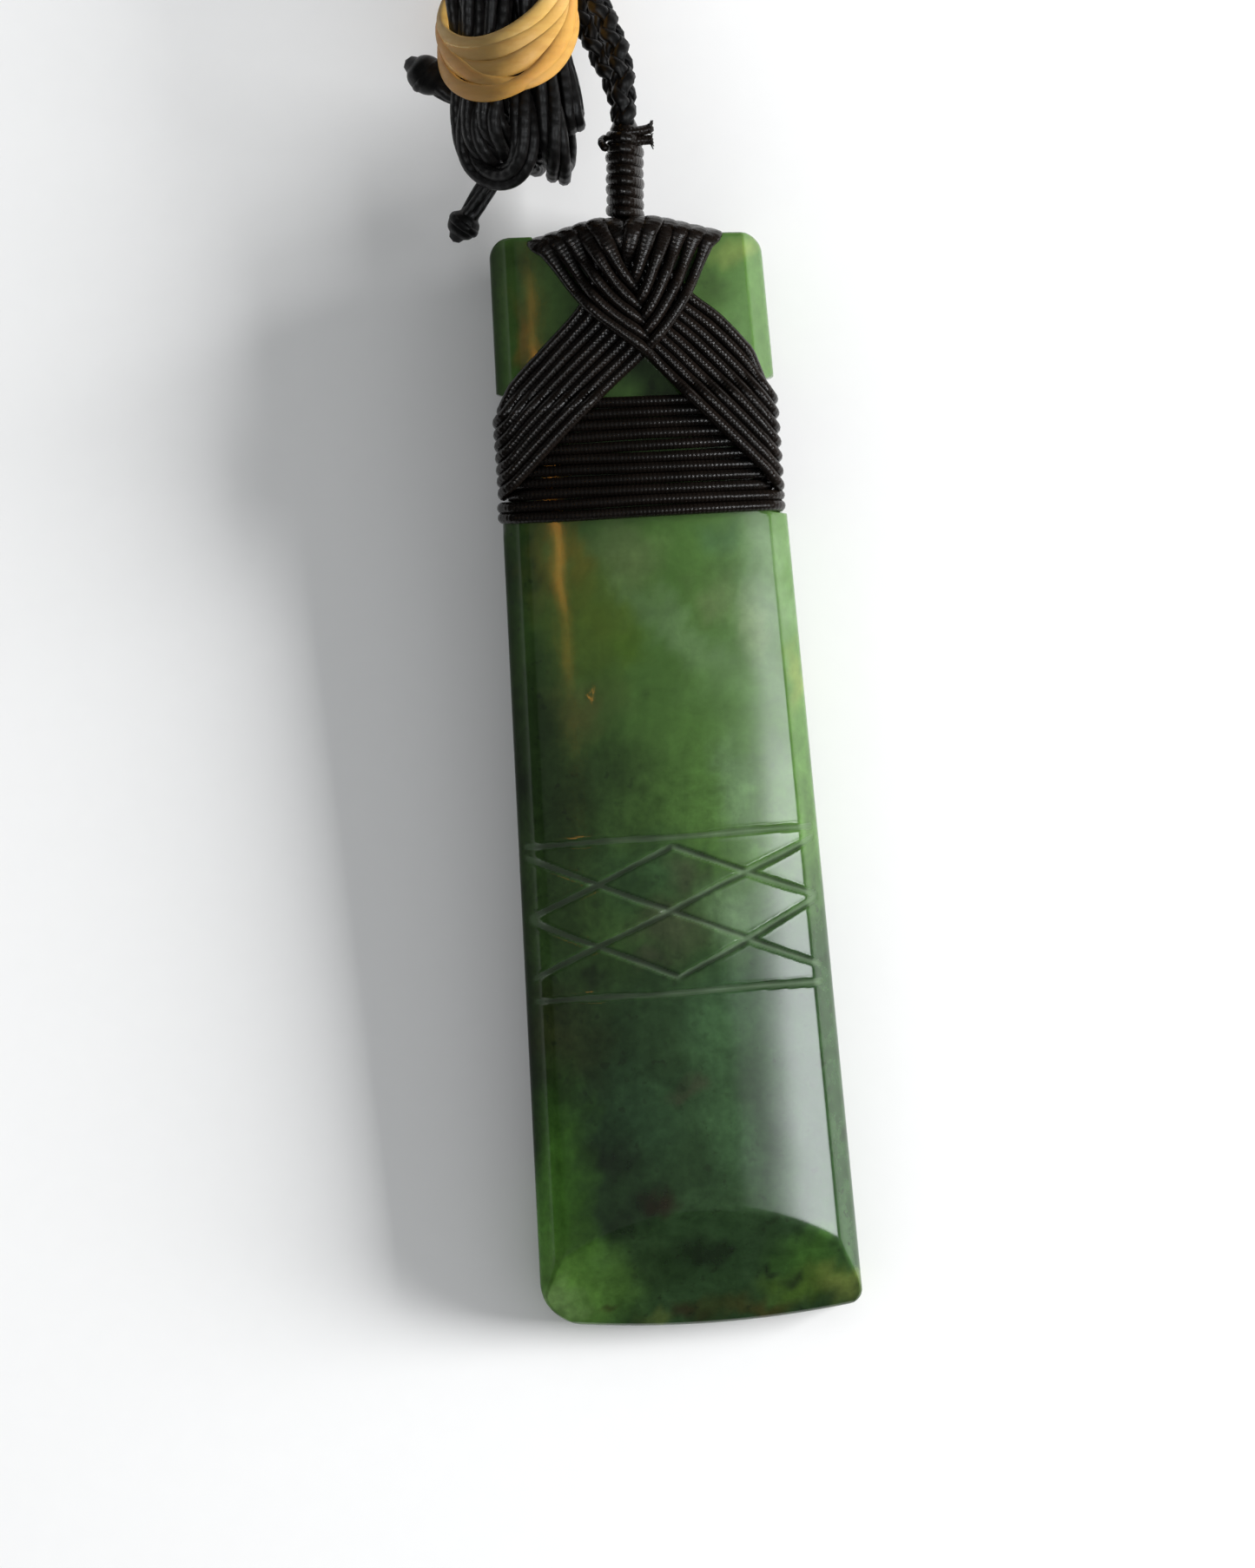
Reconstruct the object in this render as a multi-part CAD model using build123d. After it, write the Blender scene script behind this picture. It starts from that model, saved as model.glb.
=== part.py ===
from build123d import *
import math
import os

os.makedirs("parts", exist_ok=True)

# A toki: a tapered stone adze blade worn as a pendant, lashed to a plaited cord that is
# folded into a small hank and held by a rubber band.
# Everything that belongs to the stone is drawn in the stone's own frame first:
#   u across (X), v along from the blade edge to the cord (Y), w out of the flat back (Z).
# It is then leaned by REST_LEAN, because it lies on its blade edge and on the lashing.

# ---- driving dimensions, millimetres and degrees --------------------------------------
BAR_TOP_V = 81.2          # top edge on the axis; the blade's lowest point is v = 0
TOP_SLOPE = -0.048        # the top edge is cut slightly out of square
HALF_W_BLADE = 12.0       # half width at the blade
HALF_W_TOP = 10.04        # half width at the top
BAR_THICK = 6.6           # thickness at the crown
CROWN_R = 30.0            # radius of the crowned front
BLADE_ARC_R = 75.0        # the blade edge's own bow
BLADE_ARC_U = 0.6         # where that bow is lowest
R_BLADE_LEFT, R_BLADE_RIGHT, R_TOP = 3.0, 1.0, 1.5
FACET_IN, FACET_DOWN = 1.3, 2.0      # side facet: width in plan, and drop
BEVEL_W0, BEVEL_RISE = 1.44, 0.58    # front bevel: height at v = 0, and rise per mm
BACK_ROUND = 0.4

# notch floors in the two long edges, where the lashing sits (distance from the axis)
FLOOR_L, FLOOR_R = 9.05, 8.80
FLOOR_L_LOW, FLOOR_R_LOW = 10.00, 9.60
NOTCH_V0, NOTCH_V1 = 60.0, 62.2
NOTCH_V2_L, NOTCH_V2_R = 69.75, 70.75   # where the notches end, on the left and on the right
BACK_FLOOR = 0.15         # the back is relieved this much under the lashing
TOP_FLOOR_V = 80.0        # floor of the shallow notch in the top edge
TOP_NOTCH_HALF = 7.0

GROOVE_W, GROOVE_DEPTH = 0.75, 0.25
# incised lines: start u, v and end u, v
GROOVES = [
    dict(name="upper_rule", u0=-13.0, v0=36.6, u1=13.0, v1=36.6),
    dict(name="lower_rule", u0=-13.0, v0=25.1, u1=13.0, v1=25.1),
    dict(name="cross_rise", u0=-11.6, v0=26.4, u1=11.2, v1=36.0),
    dict(name="cross_fall", u0=-11.2, v0=36.0, u1=11.6, v1=25.9),
    dict(name="diamond_ne", u0=0.2, v0=35.9, u1=11.6, v1=31.1),
    dict(name="diamond_se", u0=0.1, v0=26.2, u1=11.6, v1=31.7),
    dict(name="diamond_sw", u0=0.1, v0=26.2, u1=-11.5, v1=31.5),
    dict(name="diamond_nw", u0=0.2, v0=35.9, u1=-11.5, v1=30.9),
]

THREAD = 0.8              # waxed thread, so one layer of lashing
GAP = 0.05                # between any two pieces
BAND_V0, BAND_V1 = 60.3, 69.2
CROSS_JOIN_V = 70.2
STEP_V = NOTCH_V1 + 0.4   # one turn of the band fills the step between the two floors

# outlines of the two crossing ribbons of thread, as seen from the front (u, v)
RIBBON_A = [
    dict(u=-6.80, v=84.0), dict(u=-6.80, v=81.2), dict(u=0.62, v=72.2), dict(u=9.69, v=62.7),
    dict(u=12.0, v=62.7), dict(u=12.0, v=68.9), dict(u=10.1, v=69.6), dict(u=8.05, v=70.40),
    dict(u=7.7, v=72.4), dict(u=4.56, v=76.5), dict(u=2.3, v=80.0), dict(u=2.3, v=84.0),
]
RIBBON_B = [
    dict(u=6.80, v=84.0), dict(u=6.80, v=80.4), dict(u=1.45, v=72.9), dict(u=-9.32, v=63.0),
    dict(u=-12.0, v=62.72), dict(u=-12.0, v=68.2), dict(u=-9.8, v=68.8), dict(u=-8.3, v=69.35), dict(u=-8.1, v=71.4),
    dict(u=-3.5, v=75.9), dict(u=-2.0, v=80.0), dict(u=-2.0, v=84.0),
]
# ridge of thread over the top edge, up to the foot of the neck
RIDGE = [
    dict(u=-6.7, v=80.2), dict(u=-6.7, v=81.5), dict(u=-1.9, v=82.6), dict(u=2.2, v=82.45),
    dict(u=6.7, v=81.2), dict(u=6.7, v=80.2),
]
RIDGE_W0, RIDGE_W1 = 0.3, 6.2

NECK_U, NECK_V0, NECK_V1 = 0.16, 82.68, 89.2
NECK_LEAN = 3.7           # the neck leans a little to the right
NECK_HALF_U, NECK_HALF_W = 1.42, 2.35
NECK_W = 3.3              # height above the stone's back

REST_LEAN = 1.41          # lean of the stone on its lashing

CORD_D = 2.15             # four-strand plait

HANK_U, HANK_V = -6.80, 85.0   # lower end of the hank on the ground plan
HANK_TURN = 3.3                # its axis leans this far to the left
HANK_Z = 4.95
# sections of the hank: distance along it, half width, half height, height of the centre
HANK = [
    dict(s=0.0, a=2.6, b=2.2, z=4.20),
    dict(s=1.3, a=4.3, b=3.7, z=4.50),
    dict(s=3.6, a=5.15, b=4.5, z=4.90),
    dict(s=5.6, a=4.95, b=4.5, z=5.00),
    dict(s=8.0, a=4.4, b=4.15, z=5.05),
    dict(s=12.0, a=4.3, b=4.1, z=5.10),
    dict(s=16.0, a=4.4, b=4.15, z=5.10),
    dict(s=18.4, a=4.9, b=4.5, z=5.05),
    dict(s=22.0, a=5.3, b=4.65, z=5.00),
    dict(s=32.0, a=5.4, b=4.65, z=5.00),
    dict(s=38.5, a=5.1, b=4.3, z=4.80),
    dict(s=41.5, a=4.0, b=3.3, z=4.40),
    dict(s=43.0, a=2.4, b=1.9, z=4.00),
]
# the rubber band lies between two slanted planes: s = at + across * x - drop * height
TIE_LOW = dict(at=10.6, across=0.16, drop=0.833)
TIE_HIGH = dict(at=15.4, across=0.281, drop=0.779)
TIE_OUT_A, TIE_OUT_B = 5.22, 4.98

# ground routes of the two plaits from the neck into the side of the hank: u, v and height
ROUTE_UPPER = [
    dict(x=0.60, y=89.42, z=6.75), dict(x=0.74, y=91.2, z=6.62), dict(x=0.77, y=92.9, z=6.22),
    dict(x=0.60, y=94.6, z=5.65), dict(x=0.14, y=96.3, z=4.85), dict(x=-0.45, y=98.0, z=4.15),
    dict(x=-0.95, y=99.8, z=3.60), dict(x=-1.30, y=101.8, z=3.35), dict(x=-1.60, y=104.0, z=3.42),
    dict(x=-2.15, y=106.4, z=3.75), dict(x=-3.05, y=108.9, z=4.35), dict(x=-3.70, y=111.2, z=4.75),
]
ROUTE_LOWER = [
    dict(x=0.60, y=89.50, z=4.30), dict(x=0.50, y=91.0, z=4.05), dict(x=0.15, y=92.6, z=3.50),
    dict(x=-0.45, y=94.2, z=2.90), dict(x=-1.15, y=95.8, z=2.20), dict(x=-1.75, y=97.6, z=1.65),
    dict(x=-2.15, y=99.6, z=1.32), dict(x=-2.40, y=101.8, z=1.22), dict(x=-2.85, y=104.0, z=1.34),
    dict(x=-3.60, y=106.4, z=1.72), dict(x=-4.55, y=108.9, z=2.22), dict(x=-5.20, y=111.2, z=2.50),
]
TAIL_D = 1.65
TAIL_BOTTOM = [dict(x=-8.90, y=87.15, z=2.30), dict(x=-11.40, y=83.75, z=1.72)]
KNOT_BOTTOM_LEN, KNOT_BOTTOM_R = 1.8, 1.20
TAIL_LEFT = [dict(x=-11.2, y=92.3, z=2.90), dict(x=-12.75, y=93.55, z=2.75)]
TAIL_LEFT_D = 2.1
KNOT_LEFT_LEN, KNOT_LEFT_R = 2.8, 1.42


# ---- helpers --------------------------------------------------------------------------
def half_w(v):
    return HALF_W_BLADE + (HALF_W_TOP - HALF_W_BLADE) * v / 81.4


def top_v(u):
    return BAR_TOP_V + TOP_SLOPE * u


def blade_v(u):
    return (u - BLADE_ARC_U) ** 2 / (2 * BLADE_ARC_R)


def prism(rows, w0, w1):
    """An upright prism over a plan outline given by rows of u and v."""
    pts = [(r["u"], r["v"]) for r in rows]
    return extrude(make_face(Polyline(*pts, close=True)), w1 - w0).moved(Location((0, 0, w0)))


def slab_box(u0, u1, v0, v1, w0, w1):
    return Box(u1 - u0, v1 - v0, w1 - w0).moved(
        Location(((u0 + u1) / 2, (v0 + v1) / 2, (w0 + w1) / 2))
    )


def notch_section(left, right, grow):
    """Section of the bar at the lashing, grown outwards by grow, as a face in u, w."""
    crown = CROWN_R + grow
    box = make_face(
        Polyline(
            (-left - grow, BACK_FLOOR - grow), (right + grow, BACK_FLOOR - grow),
            (right + grow, 20), (-left - grow, 20), close=True,
        )
    )
    disc = Circle(crown).moved(Location((0, BAR_THICK - CROWN_R, 0)))
    face = (box & disc).face()
    return fillet(face.vertices(), 0.7 + grow)


def lashed(left, right, grow, v0, v1):
    """The bar's lashed stretch from v0 to v1, grown outwards by grow."""
    face = notch_section(left, right, grow)
    return extrude(Plane((0, v1, 0), x_dir=(1, 0, 0), z_dir=(0, -1, 0)) * face, v1 - v0)


def to_rest(shape):
    """From the stone's frame to its leaning rest on the ground."""
    return shape.rotate(Axis.X, REST_LEAN)


# ---- the stone ------------------------------------------------------------------------
def make_toki():
    wl, wt = half_w(1.0), half_w(BAR_TOP_V)
    left_low, right_low = (-wl, blade_v(-wl)), (wl, blade_v(wl))
    outline = [
        ThreePointArc(left_low, (BLADE_ARC_U, 0.0), right_low),
        Line(right_low, (wt, top_v(wt))),
        Line((wt, top_v(wt)), (-wt, top_v(-wt))),
        Line((-wt, top_v(-wt)), left_low),
    ]
    plan = make_face(Wire(outline))
    for corner, radius in (
        (left_low, R_BLADE_LEFT),
        (right_low, R_BLADE_RIGHT),
        ((wt, top_v(wt)), R_TOP),
        ((-wt, top_v(-wt)), R_TOP),
    ):
        v = plan.vertices().sort_by_distance(Vector(*corner, 0))[0]
        plan = fillet(v, radius)
    bar = extrude(plan, BAR_THICK + 2)
    crown = Cylinder(CROWN_R, 300).rotate(Axis.X, 90).moved(Location((0, 40, BAR_THICK - CROWN_R)))
    bar = bar & crown
    # side facets: one sloping plane along each long edge
    for side in (-1, 1):
        h0, h1 = HALF_W_BLADE - FACET_IN, half_w(81.4) - FACET_IN
        z0 = BAR_THICK - h0 * h0 / (2 * CROWN_R)
        z1 = BAR_THICK - h1 * h1 / (2 * CROWN_R)
        p0, p1 = Vector(side * h0, 0, z0), Vector(side * h1, 81.4, z1)
        p2 = Vector(side * HALF_W_BLADE, 0, z0 - FACET_DOWN)
        n = (p1 - p0).cross(p2 - p0).normalized()
        if n.Z < 0:
            n = n * -1
        bar = bar - Plane(p0, x_dir=(p1 - p0).normalized(), z_dir=n) * Box(
            400, 400, 60, align=(Align.CENTER, Align.CENTER, Align.MIN)
        )
    # front bevel down to the blade
    lean = math.degrees(math.atan(BEVEL_RISE))
    bar = bar - Plane((0, 0, BEVEL_W0)).rotated((lean, 0, 0)) * Box(
        400, 400, 60, align=(Align.CENTER, Align.CENTER, Align.MIN)
    )
    bar = fillet(bar.edges().group_by(Axis.Z)[0], BACK_ROUND)
    # the lashed end of the back is relieved, which leaves one flat bearing face below it
    bar = bar - slab_box(-13, 13, NOTCH_V0, 90, -1, BACK_FLOOR)
    # notches for the lashing, in both long edges and in the top edge
    for side, low, deep, end in ((-1, FLOOR_L_LOW, FLOOR_L, NOTCH_V2_L), (1, FLOOR_R_LOW, FLOOR_R, NOTCH_V2_R)):
        rows = [
            dict(u=side * 13, v=NOTCH_V0 - 0.5), dict(u=side * (low + 0.45), v=NOTCH_V0 - 0.3),
            dict(u=side * low, v=NOTCH_V0), dict(u=side * low, v=NOTCH_V1 - 0.2),
            dict(u=side * deep, v=NOTCH_V1), dict(u=side * deep, v=end - 0.25),
            dict(u=side * (deep + 0.3), v=end), dict(u=side * 13, v=end + 0.3),
        ]
        bar = bar - prism(rows, -1, 9)
    rows = [
        dict(u=-TOP_NOTCH_HALF - 1.0, v=84), dict(u=-TOP_NOTCH_HALF - 0.6, v=81.2),
        dict(u=-TOP_NOTCH_HALF, v=TOP_FLOOR_V), dict(u=TOP_NOTCH_HALF, v=TOP_FLOOR_V),
        dict(u=TOP_NOTCH_HALF + 0.5, v=80.6), dict(u=TOP_NOTCH_HALF + 0.9, v=84),
    ]
    bar = bar - prism(rows, -1, 9)
    # the floors are rounded over at the front and back, where the thread turns
    for u0, u1, left, right, v0, v1 in (
        (-13, 13, FLOOR_L_LOW, FLOOR_R_LOW, NOTCH_V0, NOTCH_V1),
        (-13, 0, FLOOR_L, FLOOR_R, NOTCH_V1, NOTCH_V2_L - 0.3),
        (0, 13, FLOOR_L, FLOOR_R, NOTCH_V1, NOTCH_V2_R - 0.3),
    ):
        bar = bar - (slab_box(u0, u1, v0, v1, -1, 9) - lashed(left, right, 0.01, v0 - 1, v1 + 1))
    # incised lines, of one depth below the crowned face
    lowered = bar.moved(Location((0, 0, -GROOVE_DEPTH)))
    slabs = []
    for g in GROOVES:
        a, b = Vector(g["u0"], g["v0"]), Vector(g["u1"], g["v1"])
        d = b - a
        turn = math.degrees(math.atan2(d.Y, d.X))
        slabs.append(Box(d.length, GROOVE_W, 8).rotate(Axis.Z, turn).moved(Location(((a.X + b.X) / 2, (a.Y + b.Y) / 2, 5.5))))
    cutter = slabs[0]
    for s in slabs[1:]:
        cutter = cutter + s
    bar = bar - (cutter - lowered)
    return bar.solid()


# ---- the lashing ----------------------------------------------------------------------
def make_band():
    low = lashed(FLOOR_L_LOW, FLOOR_R_LOW, THREAD + GAP, BAND_V0, STEP_V)
    low = low - lashed(FLOOR_L_LOW, FLOOR_R_LOW, GAP, BAND_V0 - 1, NOTCH_V1 + GAP)
    low = low - lashed(FLOOR_L, FLOOR_R, GAP, BAND_V0 - 1, STEP_V + 1)
    high = lashed(FLOOR_L, FLOOR_R, THREAD + GAP, STEP_V, BAND_V1)
    high = high - lashed(FLOOR_L, FLOOR_R, GAP, BAND_V0 - 1, BAND_V1 + 1)
    return (low + high).solid()


def make_cross():
    a, b = prism(RIBBON_A, -4, 12), prism(RIBBON_B, -4, 12)
    both, diamond = a + b, (a & b)
    one, two = THREAD + GAP, 2 * (THREAD + GAP)
    top = TOP_FLOOR_V
    skin1 = lashed(FLOOR_L, FLOOR_R, one, BAND_V1 + GAP, top + one) - lashed(FLOOR_L, FLOOR_R, GAP, 50, top + GAP)
    skin2 = lashed(FLOOR_L, FLOOR_R, two, 61.0, CROSS_JOIN_V) - lashed(FLOOR_L, FLOOR_R, one + GAP, 50, 75)
    join = lashed(FLOOR_L, FLOOR_R, two, BAND_V1 + GAP, CROSS_JOIN_V) - lashed(FLOOR_L, FLOOR_R, GAP, 50, 75)
    raised = lashed(FLOOR_L, FLOOR_R, two, 71.0, top + one) - lashed(FLOOR_L, FLOOR_R, GAP, 50, top + GAP)
    ridge = prism(RIDGE, RIDGE_W0, RIDGE_W1) - lashed(FLOOR_L, FLOOR_R, GAP, 50, top + GAP)
    solid = (both & (skin1 + skin2 + join)) + (diamond & raised) + ridge
    return solid.solid()


def make_neck():
    foot = Plane((NECK_U, NECK_V0, NECK_W), x_dir=(1, 0, 0), z_dir=(0, 1, 0)).rotated((0, 0, -NECK_LEAN))
    run = (NECK_V1 - NECK_V0) / math.cos(math.radians(NECK_LEAN))
    stem = extrude(foot * Ellipse(NECK_HALF_U, NECK_HALF_W), run)
    stem = stem - slab_box(-5, 5, 70, NECK_V0, -5, 12)
    # the trimmed end of the whipping thread
    stub = Plane((1.2, 88.3, NECK_W + 1.1), x_dir=(0, 1, 0), z_dir=(1, 0.05, 0.15)) * Cylinder(
        THREAD / 2, 1.9, align=(Align.CENTER, Align.CENTER, Align.MIN)
    )
    return (stem + stub).solid()


# ---- the cord -------------------------------------------------------------------------
def tube(rows, diameter, label):
    """A tube of straight runs joined by arcs as large as the runs allow."""
    pts = [Vector(r["x"], r["y"], r["z"]) for r in rows]
    if len(pts) == 2:
        path = Line(pts[0], pts[1])
        radii = []
    else:
        radii = []
        for before, here, after in zip(pts, pts[1:], pts[2:]):
            d0, d1 = here - before, after - here
            half = math.radians(d0.get_angle(d1)) / 2
            radii.append(0.45 * min(d0.length, d1.length) / math.tan(half))
        path = FilletPolyline(*pts, radius=radii)
    section = Plane(pts[0], z_dir=pts[1] - pts[0]) * Circle(diameter / 2)
    solid = sweep(section, path=path).solid()
    ideal = math.pi * diameter ** 2 / 4 * path.length
    print(label, "length %.2f" % path.length, "volume ratio %.4f" % (solid.volume / ideal),
          "radii", ["%.1f" % r for r in radii])
    return solid


def hank_plane(s, z):
    t = math.radians(HANK_TURN)
    return Plane(
        (HANK_U - s * math.sin(t), HANK_V + s * math.cos(t), z),
        x_dir=(math.cos(t), math.sin(t), 0),
        z_dir=(-math.sin(t), math.cos(t), 0),
    )


def make_hank():
    faces = [hank_plane(h["s"], h["z"]) * Ellipse(h["a"], h["b"]) for h in HANK]
    return loft(Sketch() + faces).solid()


def make_tie(hank):
    t = math.radians(HANK_TURN)
    outer = extrude(hank_plane(2.0, HANK_Z + 0.1) * Ellipse(TIE_OUT_A, TIE_OUT_B), 22)
    # its wraps gather on the left and spread over the front and the right
    right, along = Vector(math.cos(t), math.sin(t), 0), Vector(-math.sin(t), math.cos(t), 0)
    halves = []
    for cut, grows in ((TIE_LOW, Align.MIN), (TIE_HIGH, Align.MAX)):
        origin = hank_plane(cut["at"], HANK_Z + 0.1).origin
        plane = Plane(origin, x_dir=right + along * cut["across"], z_dir=along - right * cut["across"] + Vector(0, 0, cut["drop"]))
        halves.append(plane * Box(60, 60, 40, align=(Align.CENTER, Align.CENTER, grows)))
    core = loft(
        Sketch() + [hank_plane(h["s"], h["z"]) * Ellipse(h["a"] + GAP, h["b"] + GAP) for h in HANK]
    )
    return ((outer & halves[0] & halves[1]) - core).solid()


def knot(rows, length, radius):
    """A stopper knot: a short rounded plug in line with its tail."""
    a, b = (Vector(r["x"], r["y"], r["z"]) for r in rows)
    d = (b - a).normalized()
    body = Plane(b + d * GAP, z_dir=d) * Cylinder(radius, length, align=(Align.CENTER, Align.CENTER, Align.MIN))
    return fillet(body.edges(), 0.42).solid()


def build():
    made = {}
    made["toki"] = to_rest(make_toki())
    made["lashing_band"] = to_rest(make_band())
    made["lashing_cross"] = to_rest(make_cross())
    made["neck_whipping"] = to_rest(make_neck())
    made["cord_hank"] = make_hank()
    made["rubber_band"] = (make_tie(made["cord_hank"]) - tube(ROUTE_LOWER, CORD_D + 3 * GAP, "clearance")).solid()
    made["cord_upper"] = (tube(ROUTE_UPPER, CORD_D, "cord_upper") - made["cord_hank"]).solids()[0]
    made["cord_lower"] = (tube(ROUTE_LOWER, CORD_D, "cord_lower") - made["cord_hank"]).solids()[0]
    made["tail_bottom"] = (tube(TAIL_BOTTOM, TAIL_D, "tail_bottom") - made["cord_hank"]).solid()
    made["tail_left"] = (tube(TAIL_LEFT, TAIL_LEFT_D, "tail_left") - made["cord_hank"]).solid()
    made["knot_bottom"] = knot(TAIL_BOTTOM, KNOT_BOTTOM_LEN, KNOT_BOTTOM_R)
    made["knot_left"] = knot(TAIL_LEFT, KNOT_LEFT_LEN, KNOT_LEFT_R)
    return made


CORD_NODES = (
    "cord_hank", "rubber_band", "cord_upper", "cord_lower", "tail_bottom", "tail_left", "knot_bottom", "knot_left",
)


def main():
    made = build()
    own = [s for n, s in made.items() if n not in CORD_NODES]
    box = Compound(children=[s.moved(Location()) for s in own]).bounding_box()
    shift = Vector(-(box.min.X + box.max.X) / 2, -(box.min.Y + box.max.Y) / 2, -box.min.Z)
    print("shift", shift)
    for name, solid in made.items():
        solid = solid.moved(Location(tuple(shift)))
        b = solid.bounding_box()
        print(name, "valid", solid.is_valid, "volume %.1f" % solid.volume,
              "low (%.2f %.2f %.2f)" % tuple(b.min), "high (%.2f %.2f %.2f)" % tuple(b.max))
        export_step(solid, os.path.join("parts", name + ".step"))


main()
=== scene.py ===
import math

import bpy
import numpy as np
from mathutils import Matrix, Vector


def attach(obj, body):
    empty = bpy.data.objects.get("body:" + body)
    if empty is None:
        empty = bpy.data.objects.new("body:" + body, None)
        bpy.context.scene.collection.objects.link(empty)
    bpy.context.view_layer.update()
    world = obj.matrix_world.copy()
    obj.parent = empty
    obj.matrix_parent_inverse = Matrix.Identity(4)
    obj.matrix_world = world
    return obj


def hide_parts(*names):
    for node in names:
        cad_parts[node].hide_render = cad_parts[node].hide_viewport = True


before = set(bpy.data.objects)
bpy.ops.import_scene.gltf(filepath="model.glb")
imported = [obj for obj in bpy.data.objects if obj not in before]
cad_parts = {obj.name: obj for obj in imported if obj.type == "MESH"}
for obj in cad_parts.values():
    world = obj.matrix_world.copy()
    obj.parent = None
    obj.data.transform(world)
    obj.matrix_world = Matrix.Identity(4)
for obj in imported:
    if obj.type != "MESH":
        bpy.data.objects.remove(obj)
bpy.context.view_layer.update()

# Everything below is drawn in millimetres and turned into metres on its way into a mesh.
MM = 0.001
SHIFT = np.array([-0.020675, -44.5823, -0.009721])   # the drawing's zero, seen from the row frame
LEAN = math.radians(1.41)                            # the stone's lean on its lashing


def ground(p):
    """Points drawn on the surface that the pendant lies on, in metres."""
    return (np.asarray(p, float).reshape(-1, 3) + SHIFT) * MM


def stone(u, v, w):
    """Points drawn in the stone's own frame, in metres."""
    u, v, w = np.broadcast_arrays(np.asarray(u, float), np.asarray(v, float), np.asarray(w, float))
    y = v * math.cos(LEAN) - w * math.sin(LEAN)
    z = v * math.sin(LEAN) + w * math.cos(LEAN)
    return (np.stack([u, y, z], axis=-1) + SHIFT) * MM


# ---- camera ---------------------------------------------------------------------------
IMAGE_W, IMAGE_H = 1445, 1806
PX_PER_MM = 15.5
VIEW_U, VIEW_V = -2.72, 40.69         # what the picture's middle looks at
VIEW_TURN = 4.19                      # the picture is turned this much against the stone
VIEW_HIGH = 0.52                      # metres above the reference height of 4 mm

cam_data = bpy.data.cameras.new("camera")
cam = bpy.data.objects.new("camera", cam_data)
bpy.context.scene.collection.objects.link(cam)
bpy.context.scene.camera = cam
cam_data.sensor_width = 36.0
cam_data.lens = 36.0 * VIEW_HIGH / (IMAGE_H / PX_PER_MM * MM)
cam_data.clip_start, cam_data.clip_end = 0.01, 20.0
look = stone(VIEW_U, VIEW_V, 4.0)
cam.location = (look[0], look[1], 0.004 + VIEW_HIGH)
cam.rotation_euler = (0.0, 0.0, math.radians(-VIEW_TURN))

# ---- mesh helpers ---------------------------------------------------------------------


class Mesh:
    """Collects rings of vertices and faces for one piece."""

    def __init__(self):
        self.v, self.q, self.t, self.uq, self.ut, self.n = [], [], [], [], [], 0

    def add(self, verts, quads=None, quad_uv=None, tris=None, tri_uv=None):
        base = self.n
        self.v.append(np.asarray(verts, float))
        self.n += len(verts)
        if quads is not None and len(quads):
            self.q.append(np.asarray(quads, int) + base)
            self.uq.append(np.zeros((len(quads), 4, 2)) if quad_uv is None else quad_uv)
        if tris is not None and len(tris):
            self.t.append(np.asarray(tris, int) + base)
            self.ut.append(np.zeros((len(tris), 3, 2)) if tri_uv is None else tri_uv)
        return base

    def make(self, name, material, floats=None, colours=None, smooth=True):
        v = np.concatenate(self.v)
        q = np.concatenate(self.q) if self.q else np.zeros((0, 4), int)
        t = np.concatenate(self.t) if self.t else np.zeros((0, 3), int)
        uv = np.concatenate(
            [np.concatenate(self.uq).reshape(-1, 2) if self.uq else np.zeros((0, 2)),
             np.concatenate(self.ut).reshape(-1, 2) if self.ut else np.zeros((0, 2))]
        )
        loops = np.concatenate([q.ravel(), t.ravel()])
        starts = np.concatenate([np.arange(len(q)) * 4, len(q) * 4 + np.arange(len(t)) * 3])
        m = bpy.data.meshes.new(name)
        m.vertices.add(len(v))
        m.vertices.foreach_set("co", v.astype(np.float32).ravel())
        m.loops.add(len(loops))
        m.loops.foreach_set("vertex_index", loops.astype(np.int32))
        m.polygons.add(len(starts))
        m.polygons.foreach_set("loop_start", starts.astype(np.int32))
        m.update(calc_edges=True)
        layer = m.uv_layers.new(name="thread")
        layer.data.foreach_set("uv", uv.astype(np.float32).ravel())
        for key, values in (floats or {}).items():
            a = m.attributes.new(key, "FLOAT", "POINT")
            a.data.foreach_set("value", np.asarray(values, np.float32))
        for key, values in (colours or {}).items():
            a = m.attributes.new(key, "FLOAT_COLOR", "POINT")
            a.data.foreach_set("color", np.c_[values, np.ones(len(values))].astype(np.float32).ravel())
        m.polygons.foreach_set("use_smooth", np.full(len(m.polygons), smooth))
        m.materials.append(material)
        m.validate()
        o = bpy.data.objects.new(name, m)
        bpy.context.scene.collection.objects.link(o)
        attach(o, "root")
        return o


def soft_step(x):
    x = np.clip(x, 0, 1)
    return x * x * (3 - 2 * x)


def lengths(p):
    return np.concatenate([[0.0], np.cumsum(np.linalg.norm(np.diff(p, axis=0), axis=1))])


def even(p, step):
    """The line again, with points about step apart. Columns after the third go along with them."""
    s = lengths(p[:, :3])
    at = np.linspace(0, s[-1], max(3, int(math.ceil(s[-1] / step)) + 1))
    return np.stack([np.interp(at, s, p[:, k]) for k in range(p.shape[1])], axis=1)


def unit(a):
    return a / np.maximum(np.linalg.norm(a, axis=-1, keepdims=True), 1e-12)


def tangents(p, closed=False):
    if closed:
        return unit(np.roll(p, -1, axis=0) - np.roll(p, 1, axis=0))
    return unit(np.gradient(p, axis=0))


def carried(p, first, closed=False):
    """One side direction for each point, carried along the line without twisting."""
    t = tangents(p, closed)
    n = np.zeros_like(p)
    a = np.asarray(first, float)
    for i in range(len(p)):
        a = a - t[i] * np.dot(a, t[i])
        a = a / max(np.linalg.norm(a), 1e-12)
        n[i] = a
    return t, n


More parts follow.
